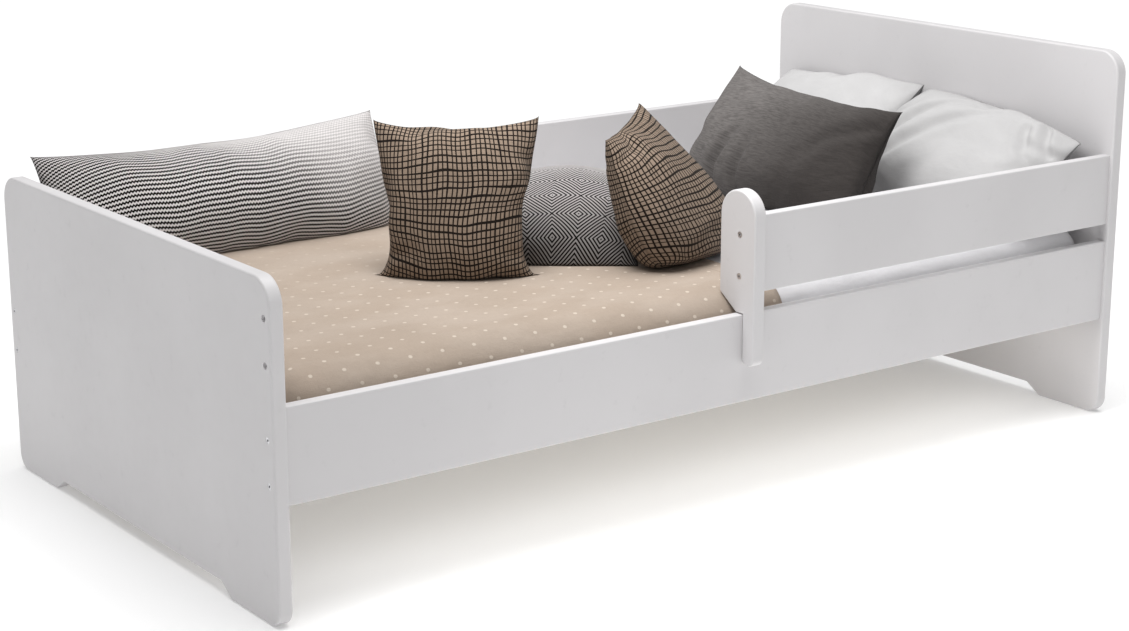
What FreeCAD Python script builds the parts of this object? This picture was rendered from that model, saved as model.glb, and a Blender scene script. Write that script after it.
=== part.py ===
import FreeCAD, Part
import math
import os

import Sketcher
from FreeCAD import Placement, Rotation, Vector

# Toddler bed for a 160 x 80 cm mattress: two panel end boards, side rails, a guard board with its post,
# a full-length rear board, a slatted base on ledgers, and the bedding that lies on it.
# Millimetres, +Z up, X along the bed with the headboard at +X, Y across it with the guard board at -Y.
# The origin is on the floor under the centre of the whole bed's box.

doc = FreeCAD.newDocument("ToddlerBed")
sheet = doc.addObject("Spreadsheet::Sheet", "Sizes")

SIZES = {
    # whole bed
    "overall_length": 1650,
    "overall_width": 850,
    "head_height": 634,
    "foot_height": 484,
    # end boards
    "panel_thickness": 22,
    "panel_top_radius": 40,
    "panel_foot_radius": 26,
    "panel_edge_round": 3.5,
    "foot_gap_height": 19,
    "foot_gap_top_half": 260,
    "foot_gap_slope": 30,
    "foot_gap_top_radius": 8,
    # side boards
    "board_thickness": 18,
    "board_inset": 6,
    "board_edge_round": 2.5,
    "rail_bottom": 170,
    "rail_height": 138,
    "guard_gap": 30,
    "guard_height": 120,
    "guard_length": 796,
    # guard post
    "post_width": 80,
    "post_thickness": 22,
    "post_leg_depth": 26,
    "post_leg_drop": 78,
    "post_leg_radius": 11,
    "post_notch_clearance": 2,
    "post_hook_rise": 25,
    "post_hook_radius": 6,
    "post_edge_round": 3,
    # screws that go through the boards: two in each joint, on the same spacing
    "screw_spacing": 64,
    "rail_screw_low": 30,
    "screw_length": 50,
    "screw_head_radius": 5,
    "screw_head_depth": 3,
    "screw_shank_radius": 3.5,
    "screw_core_radius": 2.5,
    "screw_socket_radius": 2,
    "screw_play": 0.1,
    "screw_head_recess": 0.2,
    "screw_shank_step": 1,
    "screw_point_length": 4,
    "screw_tip_length": 0.5,
    # hidden fittings of the rear board
    "cam_radius": 7.5,
    "cam_depth": 12.5,
    "cam_setback": 34,
    "cam_bolt_radius": 3,
    "cam_bolt_depth": 11,
    "cam_bolt_ball_length": 6,
    "cam_bolt_neck_start": 5,
    "cam_bolt_neck_end": 3,
    "cam_bolt_ball_start": 2.5,
    "cam_slot_width": 1.2,
    "cam_slot_depth": 1.5,
    "dowel_radius": 4,
    "dowel_length": 30,
    # slatted base
    "slat_top": 235,
    "slat_thickness": 14,
    "slat_width": 70,
    "slat_gap": 60,
    "slat_end_play": 3,
    "slat_edge_round": 2,
    "ledger_width": 25,
    "ledger_height": 38,
    "ledger_end_play": 8,
    "wood_screw_radius": 2,
    "wood_screw_head_radius": 4,
    "wood_screw_head_depth": 2.5,
    "wood_screw_recess": 0.1,
    "wood_screw_rim": 0.5,
    "wood_screw_point": 3,
    "ledger_screw_reach": 12,
    "post_screw_reach": 17,
    "slat_screw_reach": 16,
    "tape_width": 25,
    "tape_thickness": 1.2,
    "tape_inset": 90,
    # bedding
    "mattress_end_gap": 8,
    "mattress_side_gap": 9,
    "mattress_height": 98,
    "mattress_edge_round": 54,
    "sheet_thickness": 2,
    "spread_thickness": 3,
    "cloth_clearance": 0.5,
    "cloth_drop": 80,
    "spread_end": 75,
    # cushions
    "pillow_clearance": 0.6,
    "cushion_rounding": 0.42,
    "striped_width": 600,
    "striped_height": 160,
    "striped_depth": 100,
    "grid_left_width": 235,
    "grid_left_height": 219,
    "grid_left_depth": 104,
    "diamond_width": 230,
    "diamond_height": 235,
    "diamond_depth": 90,
    "grid_right_width": 190,
    "grid_right_height": 238,
    "grid_right_depth": 104,
    "grey_width": 410,
    "grey_height": 205,
    "grey_depth": 104,
    "pillow_side_gap": 14,
    "pillow_middle_gap": 4,
    "white_height": 217,
    "white_depth": 100,
}
SLAT_COUNT = 12
LEDGER_SCREW_COUNT = 6

for row, (alias, value) in enumerate(SIZES.items(), start=1):
    sheet.set("A%d" % row, alias)
    sheet.set("B%d" % row, str(value))
    sheet.setAlias("B%d" % row, alias)

# Sizes that follow from the driving ones, kept in the sheet as formulas.
DERIVED = {
    "half_length": "overall_length / 2",
    "half_width": "overall_width / 2",
    "inner_half_length": "half_length - panel_thickness",
    "inner_length": "2 * inner_half_length",
    "board_outer": "half_width - board_inset",
    "board_middle": "board_outer - board_thickness / 2",
    "board_inner": "board_outer - board_thickness",
    "rail_top": "rail_bottom + rail_height",
    "guard_bottom": "rail_top + guard_gap",
    "guard_top": "guard_bottom + guard_height",
    "guard_screw_low": "(guard_height - screw_spacing) / 2",
    "post_front": "board_outer + post_leg_depth",
    "post_back": "post_front - post_width",
    "post_bottom": "rail_top - post_leg_drop",
    "notch_top": "rail_top + post_notch_clearance",
    "post_radius": "post_width / 2",
    "guard_start": "inner_half_length - guard_length",
    "post_start": "guard_start - post_thickness",
    "mid_shift": "(post_front - half_width) / 2",
    "ledger_top": "slat_top - slat_thickness",
    "slat_length": "2 * board_inner - 2 * slat_end_play",
    "ledger_length": "inner_length - 2 * ledger_end_play",
    "slat_pitch": "slat_width + slat_gap",
    "mattress_length": "inner_length - 2 * mattress_end_gap",
    "mattress_width": "2 * board_inner - 2 * mattress_side_gap",
    "mattress_top": "slat_top + mattress_height",
    "sheet_top": "mattress_top + cloth_clearance + sheet_thickness",
    "spread_top": "sheet_top + cloth_clearance + spread_thickness",
    "white_width": "mattress_width / 2 - pillow_side_gap",
}
for row, (alias, formula) in enumerate(DERIVED.items(), start=len(SIZES) + 1):
    sheet.set("A%d" % row, alias)
    sheet.set("B%d" % row, "=" + formula)
    sheet.setAlias("B%d" % row, alias)
doc.recompute()


def size(alias):
    """The sheet's value for one alias, as a plain number."""
    return float(getattr(sheet, alias))


OVERCUT = 1.0  # how far a cutting tool starts or ends outside the board
FLAT_LEFT = 0.05  # the straight stretch left between two arcs that would otherwise just meet
FACE_TOLERANCE = 0.01
MID_Y = size("mid_shift")  # the bed's middle plane, beside the origin because the post stands proud in front
sub_parts = []


def bind(item, property_name, formula):
    """Bind one property to a formula of the sheet's aliases, each written with a leading $."""
    item.setExpression(property_name, formula.replace("$", "Sizes."))


def new_body(label, position=None, rotation=None):
    """A PartDesign body that becomes one node."""
    body = doc.addObject("PartDesign::Body", label)
    body.Label = label
    if position is not None:
        body.Placement = Placement(position, rotation or Rotation())
    sub_parts.append(body)
    return body


def origin_plane(body, role):
    return next(item for item in body.Origin.OriginFeatures if item.Role == role)


def new_sketch(body, role):
    sketch = body.newObject("Sketcher::SketchObject", body.Name + "_sketch")
    sketch.AttachmentSupport = [(origin_plane(body, role), "")]
    sketch.MapMode = "FlatFace"
    return sketch


def draw_outline(sketch, corners):
    """Draw a closed outline: each corner is (x, y) or (x, y, radius) for a rounded one."""
    count = len(corners)
    points = [Vector(corner[0], corner[1], 0) for corner in corners]
    radii = [corner[2] if len(corner) > 2 else 0 for corner in corners]
    entries = []
    exits = []
    arcs = []
    for index in range(count):
        here = points[index]
        before = (points[index - 1] - here).normalize()
        after = (points[(index + 1) % count] - here).normalize()
        radius = radii[index]
        if radius == 0:
            entries.append(here)
            exits.append(here)
            arcs.append(None)
            continue
        half_angle = before.getAngle(after) / 2
        setback = radius / math.tan(half_angle)
        bisector = (before + after).normalize()
        centre = here + bisector * (radius / math.sin(half_angle))
        entries.append(here + before * setback)
        exits.append(here + after * setback)
        middle = centre - bisector * radius
        arcs.append(Part.Arc(entries[-1], middle, exits[-1]))
    for index in range(count):
        if arcs[index] is not None:
            sketch.addGeometry(arcs[index], False)
        start = exits[index]
        end = entries[(index + 1) % count]
        if (end - start).Length > 1e-6:
            sketch.addGeometry(Part.LineSegment(start, end), False)
    sketch.detectMissingPointOnPointConstraints(0.0001)
    sketch.makeMissingPointOnPointCoincident()


def draw_rectangle(sketch, width_formula, height_formula):
    """A rectangle centred on the sketch's origin whose two sides are bound to the sheet."""
    sketch.addGeometry(Part.LineSegment(Vector(-5, -5, 0), Vector(5, -5, 0)), False)
    sketch.addGeometry(Part.LineSegment(Vector(5, -5, 0), Vector(5, 5, 0)), False)
    sketch.addGeometry(Part.LineSegment(Vector(5, 5, 0), Vector(-5, 5, 0)), False)
    sketch.addGeometry(Part.LineSegment(Vector(-5, 5, 0), Vector(-5, -5, 0)), False)
    for first in range(4):
        second = (first + 1) % 4
        sketch.addConstraint(Sketcher.Constraint("Coincident", first, 2, second, 1))
    for edge in (0, 2):
        sketch.addConstraint(Sketcher.Constraint("Horizontal", edge))
    for edge in (1, 3):
        sketch.addConstraint(Sketcher.Constraint("Vertical", edge))
    sketch.addConstraint(Sketcher.Constraint("Symmetric", 0, 1, 2, 1, -1, 1))
    across = sketch.addConstraint(Sketcher.Constraint("DistanceX", 0, 1, 0, 2, 10))
    up = sketch.addConstraint(Sketcher.Constraint("DistanceY", 1, 1, 1, 2, 10))
    bind(sketch, "Constraints[%d]" % across, width_formula)
    bind(sketch, "Constraints[%d]" % up, height_formula)


def pad(body, sketch, formula):
    """Pad a sketch by the same amount on both sides of its plane, to the bound total length."""
    feature = body.newObject("PartDesign::Pad", body.Name + "_pad")
    feature.Profile = sketch
    feature.Midplane = True
    bind(feature, "Length", formula)
    sketch.Visibility = False
    doc.recompute()
    return feature


def round_edges(body, base, formula, chosen):
    """Fillet the edges of the base that the test picks."""
    edges = [
        "Edge%d" % number
        for number, edge in enumerate(base.Shape.Edges, start=1)
        if chosen(edge)
    ]
    feature = body.newObject("PartDesign::Fillet", body.Name + "_round")
    feature.Base = (base, edges)
    bind(feature, "Radius", formula)
    doc.recompute()
    return feature


def drill(body, axis, centres, steps, name):
    """Cut stepped round holes: steps are (radius, from, to) along the axis, measured in the body's frame."""
    role = {"X": "YZ_Plane", "Y": "XZ_Plane", "Z": "XY_Plane"}[axis]
    direction = {"X": Vector(1, 0, 0), "Y": Vector(0, 1, 0), "Z": Vector(0, 0, 1)}[axis]
    for step_number, (radius, low, high) in enumerate(steps):
        sketch = body.newObject("Sketcher::SketchObject", "%s_%s_%d" % (body.Name, name, step_number))
        sketch.AttachmentSupport = [(origin_plane(body, role), "")]
        sketch.MapMode = "FlatFace"
        sketch.AttachmentOffset = Placement(Vector(0, 0, -low if axis == "Y" else low), Rotation())
        doc.recompute()
        to_sketch = sketch.Placement.inverse()
        for centre in centres:
            flat = to_sketch.multVec(centre + direction * (low - centre.dot(direction)))
            sketch.addGeometry(Part.Circle(Vector(flat.x, flat.y, 0), Vector(0, 0, 1), radius), False)
        cut = body.newObject("PartDesign::Pocket", "%s_%s_cut_%d" % (body.Name, name, step_number))
        cut.Profile = sketch
        cut.Length = high - low
        normal = sketch.Placement.Rotation.multVec(Vector(0, 0, 1))
        cut.Reversed = normal.dot(direction) > 0
        doc.recompute()
        if not cut.Shape.Volume < cut.BaseFeature.Shape.Volume - 1:
            raise RuntimeError("no hole was cut in " + body.Label)


def is_along(edge, direction, tolerance=1e-6):
    """True for a straight edge that is parallel to the direction."""
    if edge.Curve.TypeId != "Part::GeomLine":
        return False
    return abs(abs(edge.Curve.Direction.dot(direction)) - 1) < tolerance


# ---------------------------------------------------------------- screw places
# Heights of the two screws in a rail's end and in the guard board's end, above the floor.
RAIL_SCREWS = [
    size("rail_bottom") + size("rail_screw_low") + step * size("screw_spacing")
    for step in (0, 1)
]
GUARD_SCREWS = [
    size("guard_bottom") + size("guard_screw_low") + step * size("screw_spacing")
    for step in (0, 1)
]
REAR_DOWEL = sum(GUARD_SCREWS) / 2
FRONT_Y = MID_Y - size("board_middle")
REAR_Y = MID_Y + size("board_middle")
PLAY = size("screw_play")


def panel_screw_steps(outer, inward):
    """The bore of a through screw in an end board: a head seat at the outer face, then the shank's bore."""
    head = outer + inward * (size("screw_head_depth") + PLAY)
    through = outer + inward * (size("panel_thickness") + OVERCUT)
    beyond = outer - inward * OVERCUT
    return [
        (size("screw_head_radius") + PLAY, min(beyond, head), max(beyond, head)),
        (size("screw_shank_radius") + PLAY, min(head, through), max(head, through)),
    ]


# ---------------------------------------------------------------- end boards
def make_end_board(label, side, height_alias):
    """A board across the bed with round top corners and a low gap between its two feet.

    side is -1 at the foot and +1 at the head. The sketch lies in the body's YZ plane, so the body
    stands at the board's own middle plane.
    """
    middle_x = side * (size("half_length") - size("panel_thickness") / 2)
    body = new_body(label, Vector(middle_x, MID_Y, 0))
    sketch = new_sketch(body, "YZ_Plane")
    half = size("half_width")
    height = size(height_alias)
    gap_top = size("foot_gap_top_half")
    gap_bottom = gap_top + size("foot_gap_slope")
    gap_height = size("foot_gap_height")
    gap_round = size("foot_gap_top_radius")
    top_round = size("panel_top_radius")
    foot_round = size("panel_foot_radius")
    draw_outline(
        sketch,
        [
            (-half, 0, foot_round),
            (-gap_bottom, 0),
            (-gap_top, gap_height, gap_round),
            (gap_top, gap_height, gap_round),
            (gap_bottom, 0),
            (half, 0, foot_round),
            (half, height, top_round),
            (-half, height, top_round),
        ],
    )
    base = pad(body, sketch, "$panel_thickness")
    half_thickness = size("panel_thickness") / 2

    def on_outline(edge):
        box = edge.BoundBox
        on_face = box.XLength < FACE_TOLERANCE and abs(abs(box.XMin) - half_thickness) < FACE_TOLERANCE
        on_floor = box.ZMax < FACE_TOLERANCE
        return on_face and not on_floor

    round_edges(body, base, "$panel_edge_round", on_outline)
    return body


headboard = make_end_board("headboard", 1, "head_height")
footboard = make_end_board("footboard", -1, "foot_height")


def drill_end_board(body, side, screw_places, name):
    """Bores for the through screws, given as (y, z) places in the bed's frame."""
    middle_x = side * (size("half_length") - size("panel_thickness") / 2)
    outer = side * size("half_length") - middle_x
    centres = [Vector(0, y - MID_Y, z) for y, z in screw_places]
    drill(body, "X", centres, panel_screw_steps(outer, -side), name)


RAIL_PLACES = [(y, z) for y in (FRONT_Y, REAR_Y) for z in RAIL_SCREWS]
GUARD_PLACES = [(FRONT_Y, z) for z in GUARD_SCREWS]
REAR_BOARD_PLACES = [(REAR_Y, z) for z in GUARD_SCREWS]
# The footboard has the guard board's two bores as well, left empty: the guard can go at either end.
drill_end_board(headboard, 1, RAIL_PLACES + GUARD_PLACES, "bores")
drill_end_board(footboard, -1, RAIL_PLACES + GUARD_PLACES, "bores")


def drill_rear_fittings(body, side):
    """Blind holes in an end board's inner face for the rear board's two cam bolts and its dowel."""
    inner = -side * size("panel_thickness") / 2
    bolt_end = inner + side * (size("cam_bolt_depth") + PLAY)
    dowel_end = inner + side * (size("dowel_length") / 3 + PLAY)
    beyond = inner - side * OVERCUT
    bolts = [Vector(0, y - MID_Y, z) for y, z in REAR_BOARD_PLACES]
    bolt_step = (size("cam_bolt_radius") + PLAY, min(beyond, bolt_end), max(beyond, bolt_end))
    drill(body, "X", bolts, [bolt_step], "bolts")
    dowel = [Vector(0, REAR_Y - MID_Y, REAR_DOWEL)]
    dowel_step = (size("dowel_radius") + PLAY, min(beyond, dowel_end), max(beyond, dowel_end))
    drill(body, "X", dowel, [dowel_step], "dowel")


drill_rear_fittings(headboard, 1)
drill_rear_fittings(footboard, -1)


# ---------------------------------------------------------------- side boards
def make_side_board(label, length_formula, height_formula, centre):
    """A board along the bed, its long edges softly rounded."""
    body = new_body(label, centre)
    sketch = new_sketch(body, "YZ_Plane")
    draw_rectangle(sketch, "$board_thickness", height_formula)
    base = pad(body, sketch, length_formula)
    round_edges(body, base, "$board_edge_round", lambda edge: is_along(edge, Vector(1, 0, 0)))
    return body


RAIL_MIDDLE = size("rail_bottom") + size("rail_height") / 2
GUARD_MIDDLE = size("guard_bottom") + size("guard_height") / 2
GUARD_CENTRE_X = size("inner_half_length") - size("guard_length") / 2
rail_front = make_side_board(
    "rail_front", "$inner_length", "$rail_height", Vector(0, FRONT_Y, RAIL_MIDDLE)
)
rail_rear = make_side_board(
    "rail_rear", "$inner_length", "$rail_height", Vector(0, REAR_Y, RAIL_MIDDLE)
)
guard_board = make_side_board(
    "guard_board", "$guard_length", "$guard_height", Vector(GUARD_CENTRE_X, FRONT_Y, GUARD_MIDDLE)
)
rear_board = make_side_board(
    "rear_board", "$inner_length", "$guard_height", Vector(0, REAR_Y, GUARD_MIDDLE)
)


def drill_board_end(body, length, side, heights, centre_z):
    """Core bores in one end of a side board for the through screws."""
    end = side * length / 2
    depth = size("screw_length") - size("panel_thickness") + size("screw_shank_step")
    low, high = sorted((end - side * depth, end + side * OVERCUT))
    centres = [Vector(0, 0, height - centre_z) for height in heights]
    drill(body, "X", centres, [(size("screw_core_radius") + PLAY, low, high)], "end%d" % (side + 1))


for rail in (rail_front, rail_rear):
    for side in (-1, 1):
        drill_board_end(rail, size("inner_length"), side, RAIL_SCREWS, RAIL_MIDDLE)
for side in (-1, 1):
    drill_board_end(guard_board, size("guard_length"), side, GUARD_SCREWS, GUARD_MIDDLE)


def drill_cam_seats(body):
    """In the rear board: round cam pockets in its inner face, the cam bolts' bores and the dowel holes."""
    half = size("inner_half_length")
    setback = half - size("cam_setback")
    inner_face = -size("board_thickness") / 2
    pockets = [
        Vector(side * setback, 0, height - GUARD_MIDDLE)
        for side in (-1, 1)
        for height in GUARD_SCREWS
    ]
    pocket_step = (size("cam_radius") + PLAY, inner_face - OVERCUT, inner_face + size("cam_depth") + PLAY)
    drill(body, "Y", pockets, [pocket_step], "cams")
    for side in (-1, 1):
        low, high = sorted((side * setback, side * (half + OVERCUT)))
        bolts = [Vector(0, 0, height - GUARD_MIDDLE) for height in GUARD_SCREWS]
        drill(body, "X", bolts, [(size("cam_bolt_radius") + PLAY, low, high)], "bolt%d" % (side + 1))
        dowel_depth = size("dowel_length") * 2 / 3 + PLAY
        low, high = sorted((side * (half - dowel_depth), side * (half + OVERCUT)))
        dowel = [Vector(0, 0, REAR_DOWEL - GUARD_MIDDLE)]
        drill(body, "X", dowel, [(size("dowel_radius") + PLAY, low, high)], "dowel%d" % (side + 1))


drill_cam_seats(rear_board)


# ---------------------------------------------------------------- guard post
def make_post():
    """An upright across the rail: a round head, a leg down the rail's outer face and a hook inside it."""
    middle_x = size("post_start") + size("post_thickness") / 2
    body = new_body("guard_post", Vector(middle_x, MID_Y, 0))
    sketch = new_sketch(body, "YZ_Plane")
    front = -size("post_front")
    back = -size("post_back")
    rail_face = -size("board_outer")
    rail_inner = -size("board_inner")
    radius = size("post_radius")
    shoulder = size("guard_top")
    leg_round = size("post_leg_radius")
    hook_bottom = size("notch_top") + size("post_hook_rise")
    top = shoulder + radius
    draw_outline(
        sketch,
        [
            (front, size("post_bottom"), leg_round),
            (rail_face - PLAY, size("post_bottom"), leg_round),
            (rail_face - PLAY, size("notch_top")),
            (rail_inner, size("notch_top")),
            (back, hook_bottom, size("post_hook_radius")),
            (back, top, radius - FLAT_LEFT),
            (front, top, radius - FLAT_LEFT),
        ],
    )
    base = pad(body, sketch, "$post_thickness")
    half = size("post_thickness") / 2

    def on_outline(edge):
        box = edge.BoundBox
        on_face = box.XLength < FACE_TOLERANCE and abs(abs(box.XMin) - half) < FACE_TOLERANCE
        outside = box.YMin < rail_face - OVERCUT or box.ZMax > hook_bottom + OVERCUT
        return on_face and outside

    round_edges(body, base, "$post_edge_round", on_outline)
    return body, middle_x


guard_post, POST_X = make_post()
POST_FACE = -size("post_thickness") / 2
HEAD_SEAT = POST_FACE + size("screw_head_depth") + PLAY
drill(
    guard_post,
    "X",
    [Vector(0, FRONT_Y - MID_Y, height) for height in GUARD_SCREWS],
    [
        (size("screw_head_radius") + PLAY, POST_FACE - OVERCUT, HEAD_SEAT),
        (size("screw_shank_radius") + PLAY, HEAD_SEAT, size("post_thickness") / 2 + OVERCUT),
    ],
    "bores",
)


# ---------------------------------------------------------------- ledgers and slats
LEDGER_MIDDLE = size("ledger_top") - size("ledger_height") / 2
LEDGER_Y = size("board_inner") - size("ledger_width") / 2


def make_ledger(label, side):
    body = new_body(label, Vector(0, MID_Y + side * LEDGER_Y, LEDGER_MIDDLE))
    sketch = new_sketch(body, "YZ_Plane")
    draw_rectangle(sketch, "$ledger_width", "$ledger_height")
    pad(body, sketch, "$ledger_length")
    return body


ledger_front = make_ledger("ledger_front", -1)
ledger_rear = make_ledger("ledger_rear", 1)

LEDGER_SCREW_X = [
    (index - (LEDGER_SCREW_COUNT - 1) / 2) * size("ledger_length") / LEDGER_SCREW_COUNT
    for index in range(LEDGER_SCREW_COUNT)
]
WOOD_HEAD = size("wood_screw_head_radius")
WOOD_CORE = size("wood_screw_radius")
WOOD_HEAD_DEPTH = size("wood_screw_head_depth")
LEDGER_SCREW_REACH = size("ledger_screw_reach")  # how far a ledger's screw goes into the rail
POST_SCREW_REACH = size("post_screw_reach")  # how far the leg's screw goes into the post


def sorted_step(radius, first, second):
    low, high = sorted((first, second))
    return (radius, low, high)


for ledger, rail, side in ((ledger_front, rail_front, -1), (ledger_rear, rail_rear, 1)):
    open_face = -side * size("ledger_width") / 2
    head_seat = open_face + side * (WOOD_HEAD_DEPTH + PLAY)
    through = -open_face + side * OVERCUT
    centres = [Vector(x, 0, 0) for x in LEDGER_SCREW_X]
    drill(
        ledger,
        "Y",
        centres,
        [
            sorted_step(WOOD_HEAD + PLAY, open_face - side * OVERCUT, head_seat),
            sorted_step(WOOD_CORE + PLAY, head_seat, through),
        ],
        "screws",
    )
    rail_face = -side * size("board_thickness") / 2
    rail_centres = [Vector(x, 0, LEDGER_MIDDLE - RAIL_MIDDLE) for x in LEDGER_SCREW_X]
    rail_end = rail_face + side * (LEDGER_SCREW_REACH + OVERCUT)
    rail_step = sorted_step(WOOD_CORE + PLAY, rail_face - side * OVERCUT, rail_end)
    drill(rail, "Y", rail_centres, [rail_step], "ledger")

# One screw through the rail from inside holds the post's leg.
LEG_SCREW_Z = size("rail_top") - size("post_leg_drop") / 2
RAIL_INNER_FACE = size("board_thickness") / 2
LEG_HEAD_SEAT = RAIL_INNER_FACE - WOOD_HEAD_DEPTH - PLAY
drill(
    rail_front,
    "Y",
    [Vector(POST_X, 0, LEG_SCREW_Z - RAIL_MIDDLE)],
    [
        (WOOD_HEAD + PLAY, LEG_HEAD_SEAT, RAIL_INNER_FACE + OVERCUT),
        (WOOD_CORE + PLAY, -RAIL_INNER_FACE - OVERCUT, LEG_HEAD_SEAT),
    ],
    "leg",
)
LEG_FACE = -size("board_outer")
drill(
    guard_post,
    "Y",
    [Vector(0, 0, LEG_SCREW_Z)],
    [(WOOD_CORE + PLAY, LEG_FACE - POST_SCREW_REACH - OVERCUT, LEG_FACE + OVERCUT)],
    "leg",
)

SLAT_X = [(index - (SLAT_COUNT - 1) / 2) * size("slat_pitch") for index in range(SLAT_COUNT)]
SLAT_MIDDLE = size("slat_top") - size("slat_thickness") / 2
slats = []
for number, x in enumerate(SLAT_X, start=1):
    slat = new_body("slat_%02d" % number, Vector(x, MID_Y, SLAT_MIDDLE))
    slat_sketch = new_sketch(slat, "XZ_Plane")
    draw_rectangle(slat_sketch, "$slat_width", "$slat_thickness")
    slat_pad = pad(slat, slat_sketch, "$slat_length")
    round_edges(slat, slat_pad, "$slat_edge_round", lambda edge: is_along(edge, Vector(0, 1, 0)))
    slats.append(slat)

# The first and the last slat are screwed down to the ledgers, one screw at each end.
SLAT_SCREW_REACH = size("slat_screw_reach")
for slat in (slats[0], slats[-1]):
    top = size("slat_thickness") / 2
    seat = top - WOOD_HEAD_DEPTH - PLAY
    drill(
        slat,
        "Z",
        [Vector(0, side * LEDGER_Y, 0) for side in (-1, 1)],
        [(WOOD_HEAD + PLAY, seat, top + OVERCUT), (WOOD_CORE + PLAY, -top - OVERCUT, seat)],
        "screws",
    )
for ledger in (ledger_front, ledger_rear):
    half_height = size("ledger_height") / 2
    drill(
        ledger,
        "Z",
        [Vector(SLAT_X[0], 0, 0), Vector(SLAT_X[-1], 0, 0)],
        [(WOOD_CORE + PLAY, half_height - SLAT_SCREW_REACH - OVERCUT, half_height + OVERCUT)],
        "slat",
    )


# ---------------------------------------------------------------- tapes under the slats
def make_tape(label, side):
    """A webbing tape stapled under every slat, which keeps them apart."""
    tape = doc.addObject("Part::Box", label)
    tape.Label = label
    bind(tape, "Length", "$slat_pitch * %d + $slat_width" % (SLAT_COUNT - 1))
    bind(tape, "Width", "$tape_width")
    bind(tape, "Height", "$tape_thickness")
    doc.recompute()
    across = MID_Y + side * (size("board_inner") - size("tape_inset")) - size("tape_width") / 2
    under = size("ledger_top") - size("tape_thickness")
    tape.Placement = Placement(Vector(-tape.Length.Value / 2, across, under), Rotation())
    sub_parts.append(tape)


make_tape("slat_tape_front", -1)
make_tape("slat_tape_rear", 1)


# ---------------------------------------------------------------- fasteners
def group(label, shapes):
    """One node that holds several separate, identical solids."""
    item = doc.addObject("Part::Feature", label)
    item.Label = label
    item.Shape = Part.makeCompound(shapes) if len(shapes) > 1 else shapes[0]
    sub_parts.append(item)
    return item


def turned(profile, place, direction):
    """A solid of revolution: profile is (radius, distance) from the place along the direction."""
    points = [Vector(radius, 0, along) for radius, along in profile]
    wire = Part.makePolygon([Vector(0, 0, profile[0][1])] + points + [Vector(0, 0, profile[-1][1])])
    closed = Part.Wire(wire.Edges + [Part.makeLine(wire.Vertexes[-1].Point, wire.Vertexes[0].Point)])
    solid = Part.Face(closed).revolve(Vector(0, 0, 0), Vector(0, 0, 1), 360)
    solid.Placement = Placement(place, Rotation(Vector(0, 0, 1), direction))
    return solid


def through_screw(outer, direction):
    """A board screw from its flush head to its point, with a hexagon socket in the head."""
    head = size("screw_head_radius")
    depth = size("screw_head_depth")
    shank = size("screw_shank_radius")
    core = size("screw_core_radius")
    length = size("screw_length")
    shank_end = size("panel_thickness")
    solid = turned(
        [
            (head, size("screw_head_recess")),
            (head, depth / 2),
            (shank, depth),
            (shank, shank_end - size("screw_shank_step")),
            (core, shank_end),
            (core, length - size("screw_point_length")),
            (core / 3, length - size("screw_tip_length")),
        ],
        outer,
        direction,
    )
    hexagon = [
        Vector(
            size("screw_socket_radius") * math.cos(math.radians(60 * corner)),
            size("screw_socket_radius") * math.sin(math.radians(60 * corner)),
            0,
        )
        for corner in range(6)
    ]
    socket = Part.Face(Part.makePolygon(hexagon + [hexagon[0]])).extrude(Vector(0, 0, depth))
    socket.Placement = Placement(outer, Rotation(Vector(0, 0, 1), direction))
    return solid.cut(socket)


def wood_screw(head_place, direction, length):
    """A countersunk wood screw."""
    recess = size("wood_screw_recess")
    return turned(
        [
            (WOOD_HEAD, recess),
            (WOOD_HEAD, recess + size("wood_screw_rim")),
            (WOOD_CORE, WOOD_HEAD_DEPTH),
            (WOOD_CORE, length - size("wood_screw_point")),
            (WOOD_CORE / 4, length),
        ],
        head_place,
        direction,
    )


ALONG = Vector(1, 0, 0)
ACROSS = Vector(0, 1, 0)
group(
    "footboard_screws",
    [through_screw(Vector(-size("half_length"), y, z), ALONG) for y, z in RAIL_PLACES],
)
group(
    "headboard_screws",
    [
        through_screw(Vector(size("half_length"), y, z), ALONG * -1)
        for y, z in RAIL_PLACES + GUARD_PLACES
    ],
)
group(
    "post_screws",
    [through_screw(Vector(size("post_start"), y, z), ALONG) for y, z in GUARD_PLACES],
)
group(
    "post_leg_screw",
    [
        wood_screw(
            Vector(POST_X, MID_Y - size("board_inner"), LEG_SCREW_Z),
            ACROSS * -1,
            size("board_thickness") + POST_SCREW_REACH,
        )
    ],
)
for label, side in (("ledger_screws_front", -1), ("ledger_screws_rear", 1)):
    start_y = MID_Y + side * (size("board_inner") - size("ledger_width"))
    group(
        label,
        [
            wood_screw(
                Vector(x, start_y, LEDGER_MIDDLE),
                ACROSS * side,
                size("ledger_width") + LEDGER_SCREW_REACH,
            )
            for x in LEDGER_SCREW_X
        ],
    )
group(
    "slat_screws",
    [
        wood_screw(
            Vector(x, MID_Y + side * LEDGER_Y, size("slat_top")),
            Vector(0, 0, -1),
            size("slat_thickness") + SLAT_SCREW_REACH,
        )
        for x in (SLAT_X[0], SLAT_X[-1])
        for side in (-1, 1)
    ],
)


def cam_bolt(side, z):
    """A bolt screwed into an end board, whose ball the cam in the rear board pulls on."""
    neck = size("cam_bolt_radius")
    start = side * (size("inner_half_length") + size("cam_bolt_depth"))
    length = size("cam_setback") + size("cam_bolt_depth") - size("cam_radius") * 0.45
    profile = [
        (neck, 0),
        (neck, length - size("cam_bolt_ball_length")),
        (neck / 2, length - size("cam_bolt_neck_start")),
        (neck / 2, length - size("cam_bolt_neck_end")),
        (neck * 0.9, length - size("cam_bolt_ball_start")),
        (neck * 0.9, length),
    ]
    return turned(profile, Vector(start, REAR_Y, z), ALONG * -side)


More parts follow.
